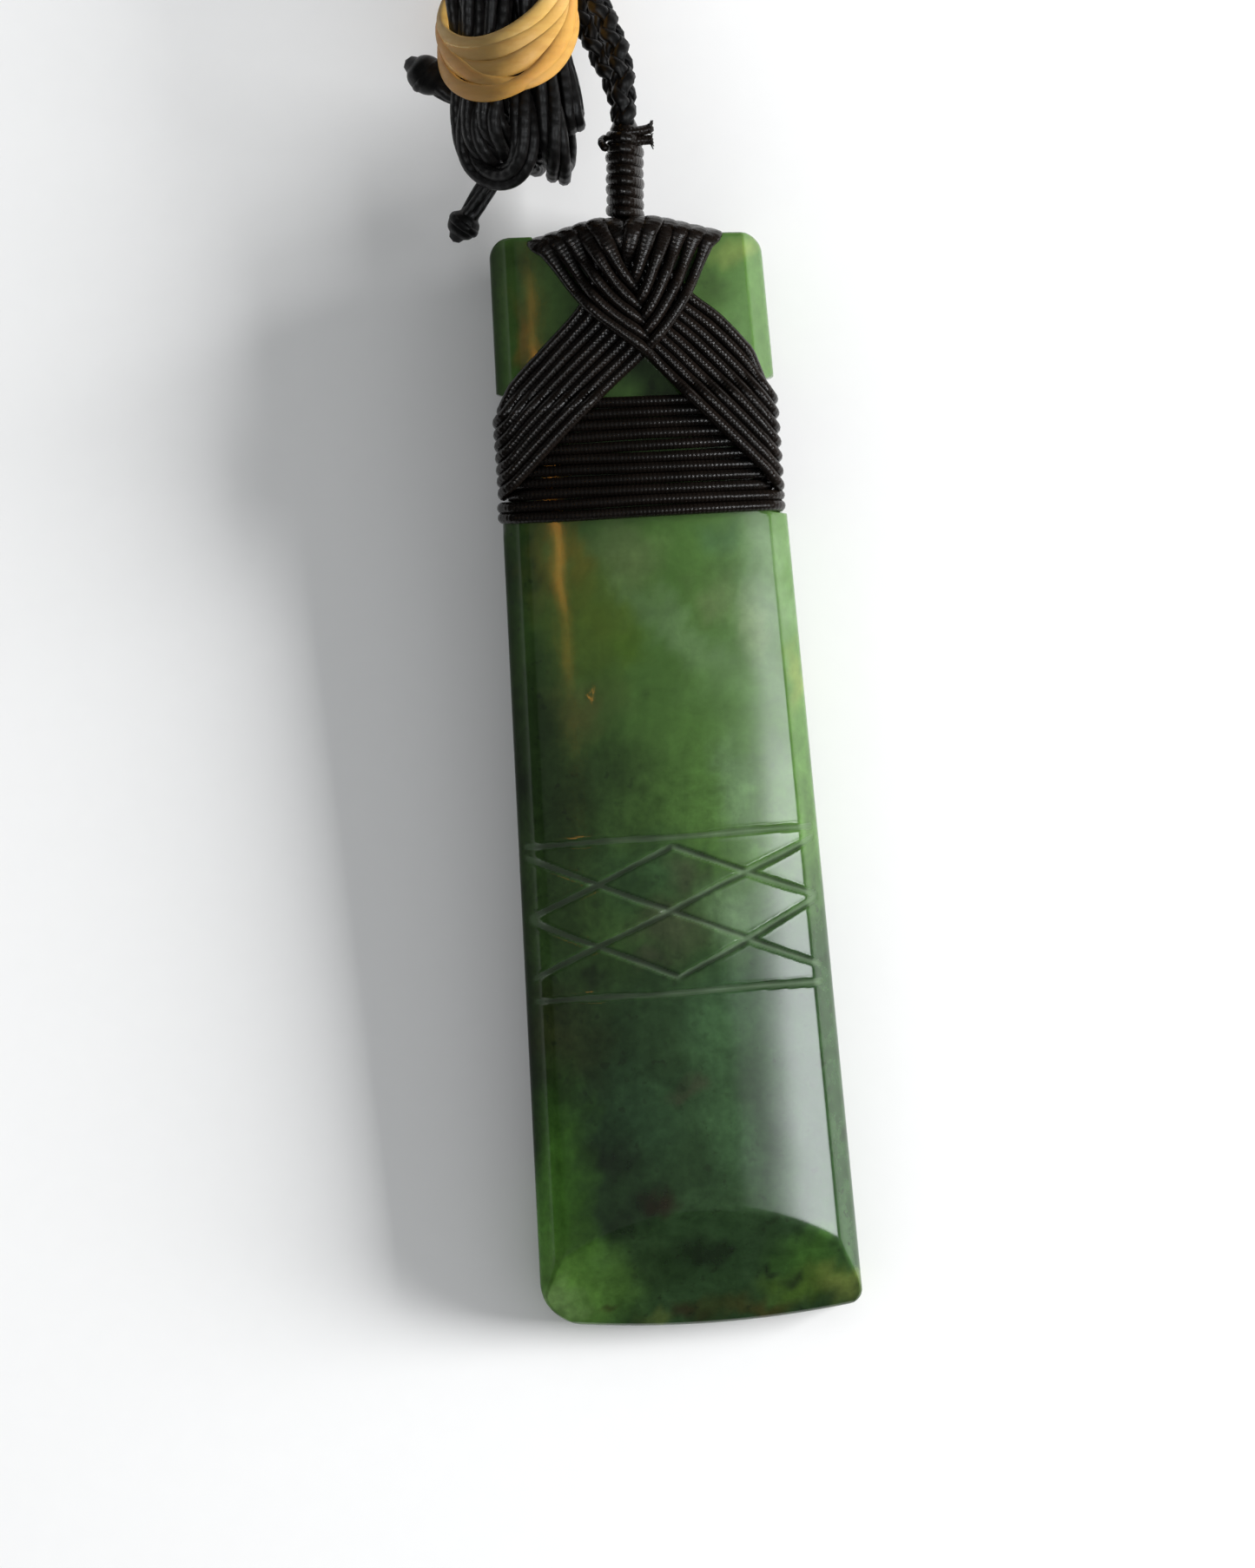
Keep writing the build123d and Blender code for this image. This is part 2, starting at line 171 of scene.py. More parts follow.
def tube(mesh, p, half_a, half_b, side, sides=10, closed=False, ends=True, along0=0.0):
    """A tube of oval section. half_a lies along side, half_b across it. Points in metres."""
    n = len(p)
    t = tangents(p, closed)
    e1 = unit(side - t * (side * t).sum(1, keepdims=True))
    e2 = np.cross(t, e1)
    half_a = np.broadcast_to(half_a, (n,)).astype(float)
    half_b = np.broadcast_to(half_b, (n,)).astype(float)
    ang = np.arange(sides) * 2 * math.pi / sides
    ring = (
        p[:, None, :]
        + np.cos(ang)[None, :, None] * (half_a[:, None, None] * e1[:, None, :])
        + np.sin(ang)[None, :, None] * (half_b[:, None, None] * e2[:, None, :])
    ).reshape(-1, 3)
    s = (lengths(p) / MM) + along0
    if closed:
        s = np.append(s, s[-1] + np.linalg.norm(p[0] - p[-1]) / MM)
    rows = n if closed else n - 1
    i = np.arange(rows)[:, None]
    j = np.arange(sides)[None, :]
    a = i * sides + j
    b = i * sides + (j + 1) % sides
    c = ((i + 1) % n) * sides + (j + 1) % sides
    d = ((i + 1) % n) * sides + j
    quads = np.stack([a, b, c, d], axis=-1).reshape(-1, 4)
    s0 = np.broadcast_to(s[:rows, None], (rows, sides))
    s1 = np.broadcast_to(s[1 : rows + 1, None], (rows, sides))
    w0 = np.broadcast_to(j / sides, (rows, sides))
    w1 = np.broadcast_to((j + 1) / sides, (rows, sides))
    uv = np.stack(
        [np.stack([s0, w0], -1), np.stack([s0, w1], -1), np.stack([s1, w1], -1), np.stack([s1, w0], -1)], axis=2
    ).reshape(-1, 4, 2)
    if closed or not ends:
        mesh.add(ring, quads, uv)
        return
    # rounded ends: one smaller ring and a tip at each end
    extra, tris = [], []
    count = len(ring)
    for end, sign in ((0, -1.0), (n - 1, 1.0)):
        r = min(half_a[end], half_b[end])
        small = (
            p[end] + sign * t[end] * r * 0.62
            + np.cos(ang)[:, None] * (half_a[end] * 0.72 * e1[end])
            + np.sin(ang)[:, None] * (half_b[end] * 0.72 * e2[end])
        )
        tip = p[end] + sign * t[end] * r * 0.95
        k0 = count + len(extra)
        extra.extend(small)
        extra.append(tip)
        base = end * sides
        jj = np.arange(sides)
        if sign > 0:
            q = np.stack([base + jj, base + (jj + 1) % sides, k0 + (jj + 1) % sides, k0 + jj], -1)
            tr = np.stack([k0 + jj, k0 + (jj + 1) % sides, np.full(sides, k0 + sides)], -1)
        else:
            q = np.stack([base + (jj + 1) % sides, base + jj, k0 + jj, k0 + (jj + 1) % sides], -1)
            tr = np.stack([k0 + (jj + 1) % sides, k0 + jj, np.full(sides, k0 + sides)], -1)
        quads = np.concatenate([quads, q])
        edge = np.zeros((sides, 4, 2))
        edge[:, :, 0] = s[min(end, len(s) - 1)]
        edge[:, :, 1] = np.stack([jj, jj + 1, jj + 1, jj], -1) / sides
        uv = np.concatenate([uv, edge])
        tris.append(tr)
    mesh.add(np.concatenate([ring, np.array(extra)]), quads, uv, np.concatenate(tris))


def nurbs_line(points, name):
    """The smooth line of a cord: a NURBS spline with these control points, in metres."""
    data = bpy.data.curves.new(name, "CURVE")
    data.dimensions = "3D"
    spline = data.splines.new("NURBS")
    spline.points.add(len(points) - 1)
    for target, p in zip(spline.points, points):
        target.co = (p[0], p[1], p[2], 1.0)
    spline.order_u = 3
    spline.use_endpoint_u = True
    spline.resolution_u = 10
    bare = bpy.data.objects.new(name, data)
    m = bpy.data.meshes.new_from_object(bare)
    line = np.array([v.co for v in m.vertices], float).reshape(-1, 3)
    bpy.data.meshes.remove(m)
    bpy.data.objects.remove(bare)
    bpy.data.curves.remove(data)
    return line


def smooth_line(points, step, closed=False):
    """A rounded line through given points, in the same unit as the points."""
    p = np.asarray(points, float)
    n = len(p)
    out = []
    for i in range(n if closed else n - 1):
        if closed:
            a, b, c, d = p[(i - 1) % n], p[i], p[(i + 1) % n], p[(i + 2) % n]
        else:
            b, c = p[i], p[i + 1]
            a = p[i - 1] if i > 0 else 2 * b - c
            d = p[i + 2] if i + 2 < n else 2 * c - b
        t = np.linspace(0, 1, 9)[:-1][:, None]
        out.append(
            0.5 * ((2 * b) + (c - a) * t + (2 * a - 5 * b + 4 * c - d) * t * t + (3 * b - a - 3 * c + d) * t**3)
        )
    if not closed:
        out.append(p[-1:])
    line = np.concatenate(out)
    if closed:
        line = np.concatenate([line, line[:1]])
        return even(line, step)[:-1]
    return even(line, step)


# ---- materials ------------------------------------------------------------------------
def new_material(name):
    m = bpy.data.materials.new(name)
    m.use_nodes = True
    nt = m.node_tree
    bsdf = nt.nodes["Principled BSDF"]
    return m, nt, bsdf


def node(nt, kind, **values):
    n = nt.nodes.new(kind)
    for k, v in values.items():
        if k.startswith("in_"):
            n.inputs[k[3:].replace("_", " ")].default_value = v
        else:
            setattr(n, k, v)
    return n


def maths(nt, op, a, b=None, clamp=False):
    n = nt.nodes.new("ShaderNodeMath")
    n.operation = op
    n.use_clamp = clamp
    for i, x in enumerate((a, b)):
        if x is None:
            continue
        if hasattr(x, "links"):
            nt.links.new(x, n.inputs[i])
        else:
            n.inputs[i].default_value = x
    return n.outputs[0]


def mixed(nt, fac, a, b, kind="MIX"):
    n = nt.nodes.new("ShaderNodeMix")
    n.data_type = "RGBA"
    n.blend_type = kind
    for socket, x in ((n.inputs[0], fac), (n.inputs[6], a), (n.inputs[7], b)):
        if hasattr(x, "links"):
            nt.links.new(x, socket)
        elif isinstance(x, (int, float)):
            socket.default_value = x
        else:
            socket.default_value = (*x, 1.0)
    return n.outputs[2]


def ramp(nt, fac, stops):
    n = nt.nodes.new("ShaderNodeValToRGB")
    nt.links.new(fac, n.inputs[0])
    e = n.color_ramp.elements
    while len(e) < len(stops):
        e.new(0.5)
    for k, (pos, col) in enumerate(stops):
        e[k].position = pos
        e[k].color = (col, col, col, 1) if isinstance(col, (int, float)) else (*col, 1)
    return n.outputs[0]


def span(nt, value, lo, hi, to_lo=0.0, to_hi=1.0):
    n = nt.nodes.new("ShaderNodeMapRange")
    n.inputs["From Min"].default_value = lo
    n.inputs["From Max"].default_value = hi
    n.inputs["To Min"].default_value = to_lo
    n.inputs["To Max"].default_value = to_hi
    nt.links.new(value, n.inputs["Value"])
    return n.outputs[0]


def place(nt, scale=(1, 1, 1), turn=(0, 0, 0), shift=(0, 0, 0)):
    """Object coordinates in millimetres, scaled and turned for a texture."""
    tc = nt.nodes.new("ShaderNodeTexCoord")
    mp = nt.nodes.new("ShaderNodeMapping")
    mp.vector_type = "POINT"
    mp.inputs["Scale"].default_value = tuple(1000.0 * s for s in scale)
    mp.inputs["Rotation"].default_value = tuple(math.radians(a) for a in turn)
    mp.inputs["Location"].default_value = shift
    nt.links.new(tc.outputs["Object"], mp.inputs["Vector"])
    return mp.outputs[0]


def noise(nt, vector, scale, detail=4.0, rough=0.55, distort=0.0, kind="FBM"):
    n = nt.nodes.new("ShaderNodeTexNoise")
    n.noise_dimensions = "3D"
    n.inputs["Scale"].default_value = scale
    n.inputs["Detail"].default_value = detail
    n.inputs["Roughness"].default_value = rough
    n.inputs["Distortion"].default_value = distort
    nt.links.new(vector, n.inputs["Vector"])
    return n.outputs[0]


def bump(nt, bsdf, height, distance, strength=1.0):
    n = nt.nodes.new("ShaderNodeBump")
    n.inputs["Strength"].default_value = strength
    n.inputs["Distance"].default_value = distance
    nt.links.new(height, n.inputs["Height"])
    nt.links.new(n.outputs[0], bsdf.inputs["Normal"])


def attribute(nt, name):
    n = nt.nodes.new("ShaderNodeAttribute")
    n.attribute_name = name
    return n.outputs["Fac"]


def thread_material(name, dark, light, pitch, turns, rough, depth, crossed):
    """Waxed thread: dark fibre, finely laid or plaited, with a dull wax shine, and painted shade in the hollows of its
    lay.
    """
    m, nt, bsdf = new_material(name)
    uv = nt.nodes.new("ShaderNodeUVMap")
    uv.uv_map = "thread"
    sep = nt.nodes.new("ShaderNodeSeparateXYZ")
    nt.links.new(uv.outputs[0], sep.inputs[0])
    along = maths(nt, "MULTIPLY", sep.outputs[0], 2 * math.pi / pitch)
    around = maths(nt, "MULTIPLY", sep.outputs[1], 2 * math.pi * turns)
    one = maths(nt, "SINE", maths(nt, "ADD", along, around))
    if crossed:
        two = maths(nt, "SINE", maths(nt, "SUBTRACT", along, around))
        relief = maths(nt, "MULTIPLY", one, two)
    else:
        relief = one
    fuzz = noise(nt, place(nt), 3.2, 5.0, 0.65)
    blotch = noise(nt, place(nt), 0.35, 3.0, 0.5)
    high = maths(nt, "ADD", maths(nt, "MULTIPLY", relief, 0.5), maths(nt, "MULTIPLY", fuzz, 0.9))
    bump(nt, bsdf, high, depth * MM, 1.0)
    # painted shade: the colour goes darker in the hollows of the lay or plait, and also varies at random in blotches
    shade = maths(nt, "MULTIPLY", span(nt, relief, -1, 1, 0.25, 1.0), span(nt, blotch, 0.35, 0.65, 0.3, 1.0))
    nt.links.new(mixed(nt, shade, dark, light), bsdf.inputs["Base Color"])
    nt.links.new(span(nt, fuzz, 0.3, 0.7, rough - 0.07, rough + 0.1), bsdf.inputs["Roughness"])
    bsdf.inputs["IOR"].default_value = 1.47
    bsdf.inputs["Specular IOR Level"].default_value = 0.42
    return m


lashing_mat = thread_material("waxed_thread", (0.0022, 0.0016, 0.0012), (0.0070, 0.0047, 0.0036), 0.62, 1.0, 0.27, 0.026, True)
plait_mat = thread_material("plaited_cord", (0.0016, 0.0015, 0.0015), (0.0045, 0.0042, 0.0040), 0.80, 1.0, 0.42, 0.03, False)


def rubber_material():
    m, nt, bsdf = new_material("band_rubber")
    big = noise(nt, place(nt), 0.22, 2.0, 0.5)
    fine = noise(nt, place(nt), 1.6, 5.0, 0.6)
    along = noise(nt, place(nt, (0.5, 2.4, 0.5)), 1.0, 3.0, 0.5)
    # painted light: the wrap tint, pale tan on the upper wraps and orange on the lower ones, stands in for much of the
    # band's light and shade
    col = mixed(nt, attribute(nt, "wrap"), (0.345, 0.165, 0.032), (0.340, 0.228, 0.074))
    col = mixed(nt, span(nt, big, 0.38, 0.62, 0.0, 0.55), col, (0.320, 0.188, 0.038))
    col = mixed(nt, span(nt, along, 0.45, 0.70, 0.0, 0.45), col, (0.255, 0.125, 0.026))
    nt.links.new(col, bsdf.inputs["Base Color"])
    nt.links.new(span(nt, fine, 0.3, 0.7, 0.42, 0.6), bsdf.inputs["Roughness"])
    bsdf.inputs["Subsurface Weight"].default_value = 0.15
    bsdf.inputs["Subsurface Radius"].default_value = (1.0, 0.5, 0.2)
    bsdf.inputs["Subsurface Scale"].default_value = 0.0006
    bsdf.inputs["IOR"].default_value = 1.5
    bump(nt, bsdf, fine, 0.03 * MM)
    return m


rubber_mat = rubber_material()

# ---- the cord: two plaited halves, wound into one small hank ---------------------------
HANK_U, HANK_V, HANK_TURN = -6.80, 85.0, math.radians(3.3)

ROUTE_UPPER = [
    dict(x=0.60, y=89.42, z=6.75), dict(x=0.74, y=91.2, z=6.62), dict(x=0.77, y=92.9, z=6.22),
    dict(x=0.60, y=94.6, z=5.65), dict(x=0.14, y=96.3, z=4.85), dict(x=-0.45, y=98.0, z=4.15),
    dict(x=-0.95, y=99.8, z=3.60), dict(x=-1.30, y=101.8, z=3.35), dict(x=-1.60, y=104.0, z=3.42),
    dict(x=-2.15, y=106.4, z=3.75), dict(x=-3.05, y=108.9, z=4.35), dict(x=-3.70, y=111.2, z=4.75),
]
ROUTE_LOWER = [
    dict(x=0.60, y=89.50, z=4.30), dict(x=0.50, y=91.0, z=4.05), dict(x=0.15, y=92.6, z=3.50),
    dict(x=-0.45, y=94.2, z=2.90), dict(x=-1.15, y=95.8, z=2.20), dict(x=-1.75, y=97.6, z=1.65),
    dict(x=-2.15, y=99.6, z=1.32), dict(x=-2.40, y=101.8, z=1.22), dict(x=-2.85, y=104.0, z=1.34),
    dict(x=-3.60, y=106.4, z=1.72), dict(x=-4.55, y=108.9, z=2.22), dict(x=-5.20, y=111.2, z=2.50),
]
TAIL_BOTTOM = [dict(x=-7.60, y=89.30, z=2.35), dict(x=-8.90, y=87.15, z=2.30), dict(x=-11.40, y=83.75, z=1.72)]
TAIL_LEFT = [dict(x=-10.30, y=93.60, z=3.00), dict(x=-11.2, y=92.3, z=2.90), dict(x=-12.75, y=93.55, z=2.75)]

# the hank's runs: where each one lies across (x) and high (z) at four stations along it
STATION = [6.2, 12.0, 20.5, 29.0]
RUNS = [
    dict(run="a1", x0=3.71, z0=6.39, x1=2.84, z1=6.35, x2=3.55, z2=6.76, x3=3.09, z3=6.02),
    dict(run="a2", x0=3.87, z0=4.37, x1=3.28, z1=4.45, x2=2.89, z2=4.53, x3=1.98, z3=4.22),
    dict(run="a3", x0=2.93, z0=2.51, x1=2.22, z1=2.98, x2=1.72, z2=1.53, x3=1.17, z3=1.42),
    dict(run="a4", x0=2.37, z0=7.96, x1=1.64, z1=7.80, x2=1.82, z2=8.34, x3=2.19, z3=7.89),
    dict(run="a5", x0=-1.99, z0=8.19, x1=-0.53, z1=8.16, x2=-0.26, z2=8.66, x3=0.05, z3=8.47),
    dict(run="a6", x0=1.15, z0=1.39, x1=0.44, z1=2.30, x2=-0.52, z2=1.40, x3=-0.92, z3=1.26),
    dict(run="a7", x0=0.61, z0=4.11, x1=-0.46, z1=3.75, x2=-1.62, z2=4.14, x3=-2.37, z3=5.11),
    dict(run="b1", x0=0.27, z0=8.23, x1=0.33, z1=6.05, x2=1.38, z2=6.24, x3=0.74, z3=5.91),
    dict(run="b2", x0=-4.16, z0=4.42, x1=-3.07, z1=5.67, x2=-3.97, z2=6.28, x3=-4.27, z3=5.93),
    dict(run="b3", x0=-3.35, z0=6.61, x1=-2.26, z1=7.27, x2=-2.47, z2=8.15, x3=-2.98, z3=7.68),
    dict(run="b4", x0=-1.69, z0=2.07, x1=-1.25, z1=2.20, x2=-2.88, z2=2.19, x3=-2.83, z3=2.15),
    dict(run="b5", x0=1.54, z0=5.94, x1=1.47, z1=4.56, x2=0.58, z2=3.58, x3=-0.18, z3=3.58),
    dict(run="b6", x0=-0.37, z0=5.89, x1=-1.62, z1=5.42, x2=-0.92, z2=6.50, x3=-1.11, z3=6.75),
    dict(run="b7", x0=-3.38, z0=3.69, x1=-2.89, z1=3.71, x2=-3.86, z2=4.08, x3=-4.19, z3=3.81),
]
# the leads from the neck, once they run beside the hank's runs
LEADS = [dict(run="a0", x3=3.12, z3=2.35), dict(run="b0", x3=4.26, z3=4.14)]
# the folds: how far along the hank each one turns, and how it bows out of its plane
FOLDS = [
    dict(start="a0", end="a1", side="up", s=37.88, dx=-1.04, dz=-0.50),
    dict(start="a1", end="a2", side="low", s=4.64, dx=0.13, dz=-0.03),
    dict(start="a2", end="a3", side="up", s=35.89, dx=-0.51, dz=0.28),
    dict(start="a3", end="a4", side="low", s=1.14, dx=-0.18, dz=-0.94),
    dict(start="a4", end="a5", side="up", s=38.90, dx=0.22, dz=-0.44),
    dict(start="a5", end="a6", side="low", s=2.19, dx=0.81, dz=-1.88),
    dict(start="a6", end="a7", side="up", s=39.06, dx=0.55, dz=-0.11),
    dict(start="b0", end="b1", side="up", s=41.82, dx=-2.12, dz=-0.31),
    dict(start="b1", end="b2", side="low", s=1.09, dx=0.34, dz=-0.03),
    dict(start="b2", end="b3", side="up", s=37.83, dx=0.07, dz=-0.33),
    dict(start="b3", end="b4", side="low", s=2.90, dx=0.28, dz=0.70),
    dict(start="b4", end="b5", side="up", s=35.31, dx=-0.51, dz=0.14),
    dict(start="b5", end="b6", side="low", s=5.98, dx=-0.22, dz=-0.04),
    dict(start="b6", end="b7", side="up", s=40.62, dx=0.25, dz=0.52),
]


def in_hank(x, s, z):
    """A point of the hank, from across, along and up."""
    c, n = math.cos(HANK_TURN), math.sin(HANK_TURN)
    return [HANK_U + x * c - s * n, HANK_V + x * n + s * c, z]


def cord_points(half, route, tail):
    """All control points of one half of the cord, from the neck to its knot."""
    rows = {r["run"]: r for r in RUNS}
    lead = next(r for r in LEADS if r["run"] == half + "0")
    pts = [[r["x"], r["y"], r["z"]] for r in route]
    pts += [in_hank(lead["x3"], s, lead["z3"]) for s in (29.5, 34.0)]
    here = (lead["x3"], lead["z3"])
    for fold in (f for f in FOLDS if f["start"][0] == half):
        run = rows[fold["end"]]
        order = (3, 2, 1, 0) if fold["side"] == "up" else (0, 1, 2, 3)
        there = (run["x%d" % order[0]], run["z%d" % order[0]])
        rho = math.hypot(here[0] - there[0], here[1] - there[1]) / 2
        back = 0.586 * rho * (1 if fold["side"] == "low" else -1)
        for share, ds, bow in ((0, back, 0), (0.293, 0, 1), (0.707, 0, 1), (1, back, 0)):
            pts.append(
                in_hank(
                    here[0] + (there[0] - here[0]) * share + bow * fold["dx"],
                    fold["s"] + ds,
                    here[1] + (there[1] - here[1]) * share + bow * fold["dz"],
                )
            )
        for k in order:
            if run["run"] == "b7" and k == 0:
                continue
            pts.append(in_hank(run["x%d" % k], STATION[k], run["z%d" % k]))
        here = (run["x%d" % order[-1]], run["z%d" % order[-1]])
    pts += [[r["x"], r["y"], r["z"]] for r in tail]
    return pts


STRANDS = [dict(way=1, start=0.0), dict(way=1, start=0.5), dict(way=-1, start=0.25), dict(way=-1, start=0.75)]
LAY = 5.0              # length in which a strand of the plait goes once round
LONG_LAY = 24.0        # and where the four threads lie side by side
PLAITED = 17.0         # how far from the neck the threads are plaited
THREAD_R = 0.475


def plait(mesh, line, size):
    """Four threads along a line in metres: crossing each other near the neck, then lying long.
    size scales the cord, point by point."""
    t, n = carried(line, (0, 0, 1))
    b = np.cross(t, n)
    s = lengths(line) / MM
    near = 1 - np.clip((s - PLAITED) / 5.0, 0, 1)
    lay = np.minimum(s, PLAITED + 2.5) / LAY * 2 * math.pi
    slow = np.maximum(s - PLAITED, 0) / LONG_LAY * 2 * math.pi
    for i, k in enumerate(STRANDS):
        turn = k["way"] * lay + k["start"] * 2 * math.pi
        # the crossing strands come round to even places of their own
        place_at = k["way"] * (PLAITED + 2.5) / LAY * 2 * math.pi + k["start"] * 2 * math.pi
        wanted = (0.25 * i + 0.06) * 2 * math.pi
        gap = (wanted - place_at + math.pi) % (2 * math.pi) - math.pi
        turn = turn + gap * (1 - near) ** 2 * (3 - 2 * (1 - near)) + slow
        turn = turn + (1 - near) * 0.22 * np.sin(s * 0.21 + 2.1 * i)
        rise = k["way"] * np.cos(2 * (lay - math.pi / 4)) * near
        r = (0.475 + 0.26 * rise) * near + (0.605 + 0.05 * np.sin(s * 0.33 + 1.7 * i)) * (1 - near)
        out = np.cos(turn)[:, None] * n + np.sin(turn)[:, None] * b
        p = line + out * (r * size)[:, None] * MM
        wide = (0.50 * near + (THREAD_R + 0.02) * (1 - near)) * size * MM
        flat = (0.33 * near + THREAD_R * (1 - near)) * size * MM
        tube(mesh, p, flat, wide, out, sides=9)


def make_cord(name, half, route, tail, thin_end, replaced):
    line = nurbs_line(ground(cord_points(half, route, tail)), name + "_line")
    line = even(line, 0.34 * MM)
    s = lengths(line) / MM
    size = np.ones(len(line))
    # drawn in where the rubber band grips the hank, and thinner towards the knot
    y = line[:, 1] / MM - SHIFT[1]
    x = line[:, 0] / MM - SHIFT[0]
    along = -(x - HANK_U) * math.sin(HANK_TURN) + (y - HANK_V) * math.cos(HANK_TURN)
    grip = np.exp(-(((along - 12.0) / 3.4) ** 2)) * (s > 30)
    size -= 0.075 * grip
    size *= 1 - (1 - thin_end) * np.clip((s - (s[-1] - 6.0)) / 3.0, 0, 1)
    m = Mesh()
    plait(m, line, size)
    o = m.make(name, plait_mat)
    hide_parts(*replaced)
    return o, line


BEAD = [
    dict(s=-0.35, r=0.80, flat=1.0), dict(s=0.0, r=0.90, flat=1.0), dict(s=0.25, r=1.20, flat=0.92), dict(s=0.60, r=1.36, flat=0.88),
    dict(s=0.98, r=1.34, flat=0.88), dict(s=1.30, r=1.22, flat=0.9), dict(s=1.55, r=1.06, flat=0.9), dict(s=1.78, r=0.70, flat=0.9),
]


ROUND_KNOT = [
    dict(s=-0.35, r=0.88, flat=1.0), dict(s=0.0, r=0.96, flat=1.0), dict(s=0.35, r=1.20, flat=0.97), dict(s=0.80, r=1.38, flat=0.95),
    dict(s=1.35, r=1.43, flat=0.95), dict(s=1.90, r=1.34, flat=0.95), dict(s=2.35, r=1.08, flat=0.95), dict(s=2.62, r=0.72, flat=0.95),
]


def bead(name, tail, replaced, table, across=1.0):
    """A flat stopper knot, drawn down so tight that only its outline and one crossing turn show."""
    a, b = (np.array([r["x"], r["y"], r["z"]]) for r in tail[-2:])
    d = (b - a) / np.linalg.norm(b - a)
    side = unit(np.cross(d, (0, 0, 1.0)))
    up = np.cross(side, d)
    rows = smooth_line([(r["s"], r["r"] * across, r["flat"]) for r in table], 0.07)
    p = b + np.outer(rows[:, 0], d)
    m = Mesh()
    tube(m, ground(p), rows[:, 1] * rows[:, 2] * MM, rows[:, 1] * MM, np.tile(up, (len(p), 1)), sides=30)
    w = np.linspace(0, 1, 40)
    ang = -0.6 + w * 5.2
    s = (0.42 + 0.85 * w + 0.12 * np.sin(6 * w)) * table[-1]["s"] / 1.78
    r = np.interp(s, rows[:, 0], rows[:, 1]) - 0.13 - 0.25 * np.abs(2 * w - 1) ** 6
    q = b + np.outer(s, d) + r[:, None] * (np.outer(np.cos(ang), side) + 0.88 * np.outer(np.sin(ang), up))
    out = unit(np.outer(np.cos(ang), side) + np.outer(np.sin(ang), up))
    tube(m, ground(q), 0.24 * MM, 0.34 * MM, out, sides=12)
    o = m.make(name, plait_mat)
    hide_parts(replaced)
    return o


cord_a, line_a = make_cord("cord_half_lower", "a", ROUTE_LOWER, TAIL_BOTTOM, 0.77, ("cord_lower", "cord_hank", "tail_bottom"))
cord_b, line_b = make_cord("cord_half_upper", "b", ROUTE_UPPER, TAIL_LEFT, 0.97, ("cord_upper", "tail_left"))
knot_a = bead("stopper_knot_bottom", TAIL_BOTTOM, "knot_bottom", BEAD, 0.88)
knot_b = bead("stopper_knot_left", TAIL_LEFT, "knot_left", ROUND_KNOT)

# ---- the rubber band round the hank ----------------------------------------------------
TIE_Z = 5.05
# the band lies between two slanted planes: s = at + across * x - drop * height
TIE_LOW = dict(at=10.6, across=0.16, drop=0.833)
TIE_HIGH = dict(at=15.4, across=0.281, drop=0.779)
# its wraps: where each one lies between the two planes on the left, in front, on the right and
# behind, its half width there, the layer it lies in, and its tint, which paints much of the band's
# light and shade: pale tan on the upper wraps, orange on the lower ones
WRAPS = [
    dict(left=0.76, front=0.87, right=0.96, back=0.80, wide_side=0.62, wide_front=0.62, layer=0.04, thick=0.36, tint=0.95),
    dict(left=0.66, front=0.66, right=0.66, back=0.56, wide_side=0.72, wide_front=0.78, layer=0.00, thick=0.36, tint=0.65),
    dict(left=0.46, front=0.42, right=0.50, back=0.40, wide_side=0.70, wide_front=0.80, layer=0.08, thick=0.37, tint=0.45),
    dict(left=0.56, front=0.17, right=0.15, back=0.22, wide_side=0.66, wide_front=0.60, layer=0.20, thick=0.38, tint=0.25),
    dict(left=0.17, front=0.135, right=0.52, back=0.50, wide_side=0.74, wide_front=0.62, layer=0.30, thick=0.38, tint=0.05),
]


def four_way(a, right, front, left, back):
    """A value that goes smoothly round the ring through its four stations."""
    low, high = (right + left) / 2, (front + back) / 2
    return (low + high) / 2 + (right - left) / 2 * np.cos(a) + (front - back) / 2 * np.sin(a) + (low - high) / 2 * np.cos(2 * a)


def make_tie():
    m = Mesh()
    tints = []
    t = HANK_TURN
    right = np.array([math.cos(t), math.sin(t), 0.0])
    along = np.array([-math.sin(t), math.cos(t), 0.0])
    up = np.array([0.0, 0.0, 1.0])
    mid = np.array(in_hank(0, 0, TIE_Z))
    for i, w in enumerate(WRAPS):
        n = 170
        a = np.arange(n) * 2 * math.pi / n
        ra, rb = 4.78 + w["layer"], 4.50 + w["layer"] * 0.8
        x, h = ra * np.cos(a), rb * np.sin(a)
        low = TIE_LOW["at"] + TIE_LOW["across"] * x - TIE_LOW["drop"] * h
        high = TIE_HIGH["at"] + TIE_HIGH["across"] * x - TIE_HIGH["drop"] * h
        k = four_way(a, w["right"], w["front"], w["left"], w["back"])
        s = low + (high - low) * k + 0.07 * np.sin(3 * a + 2.0 * i)
        p = mid + np.outer(x, right) + np.outer(h, up) + np.outer(s, along)
        p[:, 2] = np.maximum(p[:, 2], 0.45)
        out = unit(np.outer(x / ra**2, right) + np.outer(h / rb**2, up))
        tilt = 0.20 * np.sin(2 * a + 1.7 * i) - 0.12 * np.sin(a)
        side = unit(out + tilt[:, None] * along)
        wide = four_way(a, w["wide_side"], w["wide_front"], w["wide_side"], w["wide_side"]) * (1 + 0.05 * np.sin(5 * a + i))
        before = m.n
        tube(m, ground(p), w["thick"] * MM, wide * MM, side, sides=18, closed=True)
        tints += [w["tint"]] * (m.n - before)
    o = m.make("rubber_band_wraps", rubber_mat, dict(wrap=tints))
    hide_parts("rubber_band")
    return o


tie = make_tie()

# ---- the lashing -----------------------------------------------------------------------
THREAD, GAP = 0.8, 0.05
BACK_FLOOR = 0.15
FLOOR = dict(left=9.05, right=8.80, left_low=10.00, right_low=9.60, low_top=62.0)
CROWN_R, BAR_THICK = 30.0, 6.6


def crown(u, grow=0.0):
    return BAR_THICK - CROWN_R + np.sqrt((CROWN_R + grow) ** 2 - np.asarray(u, float) ** 2)


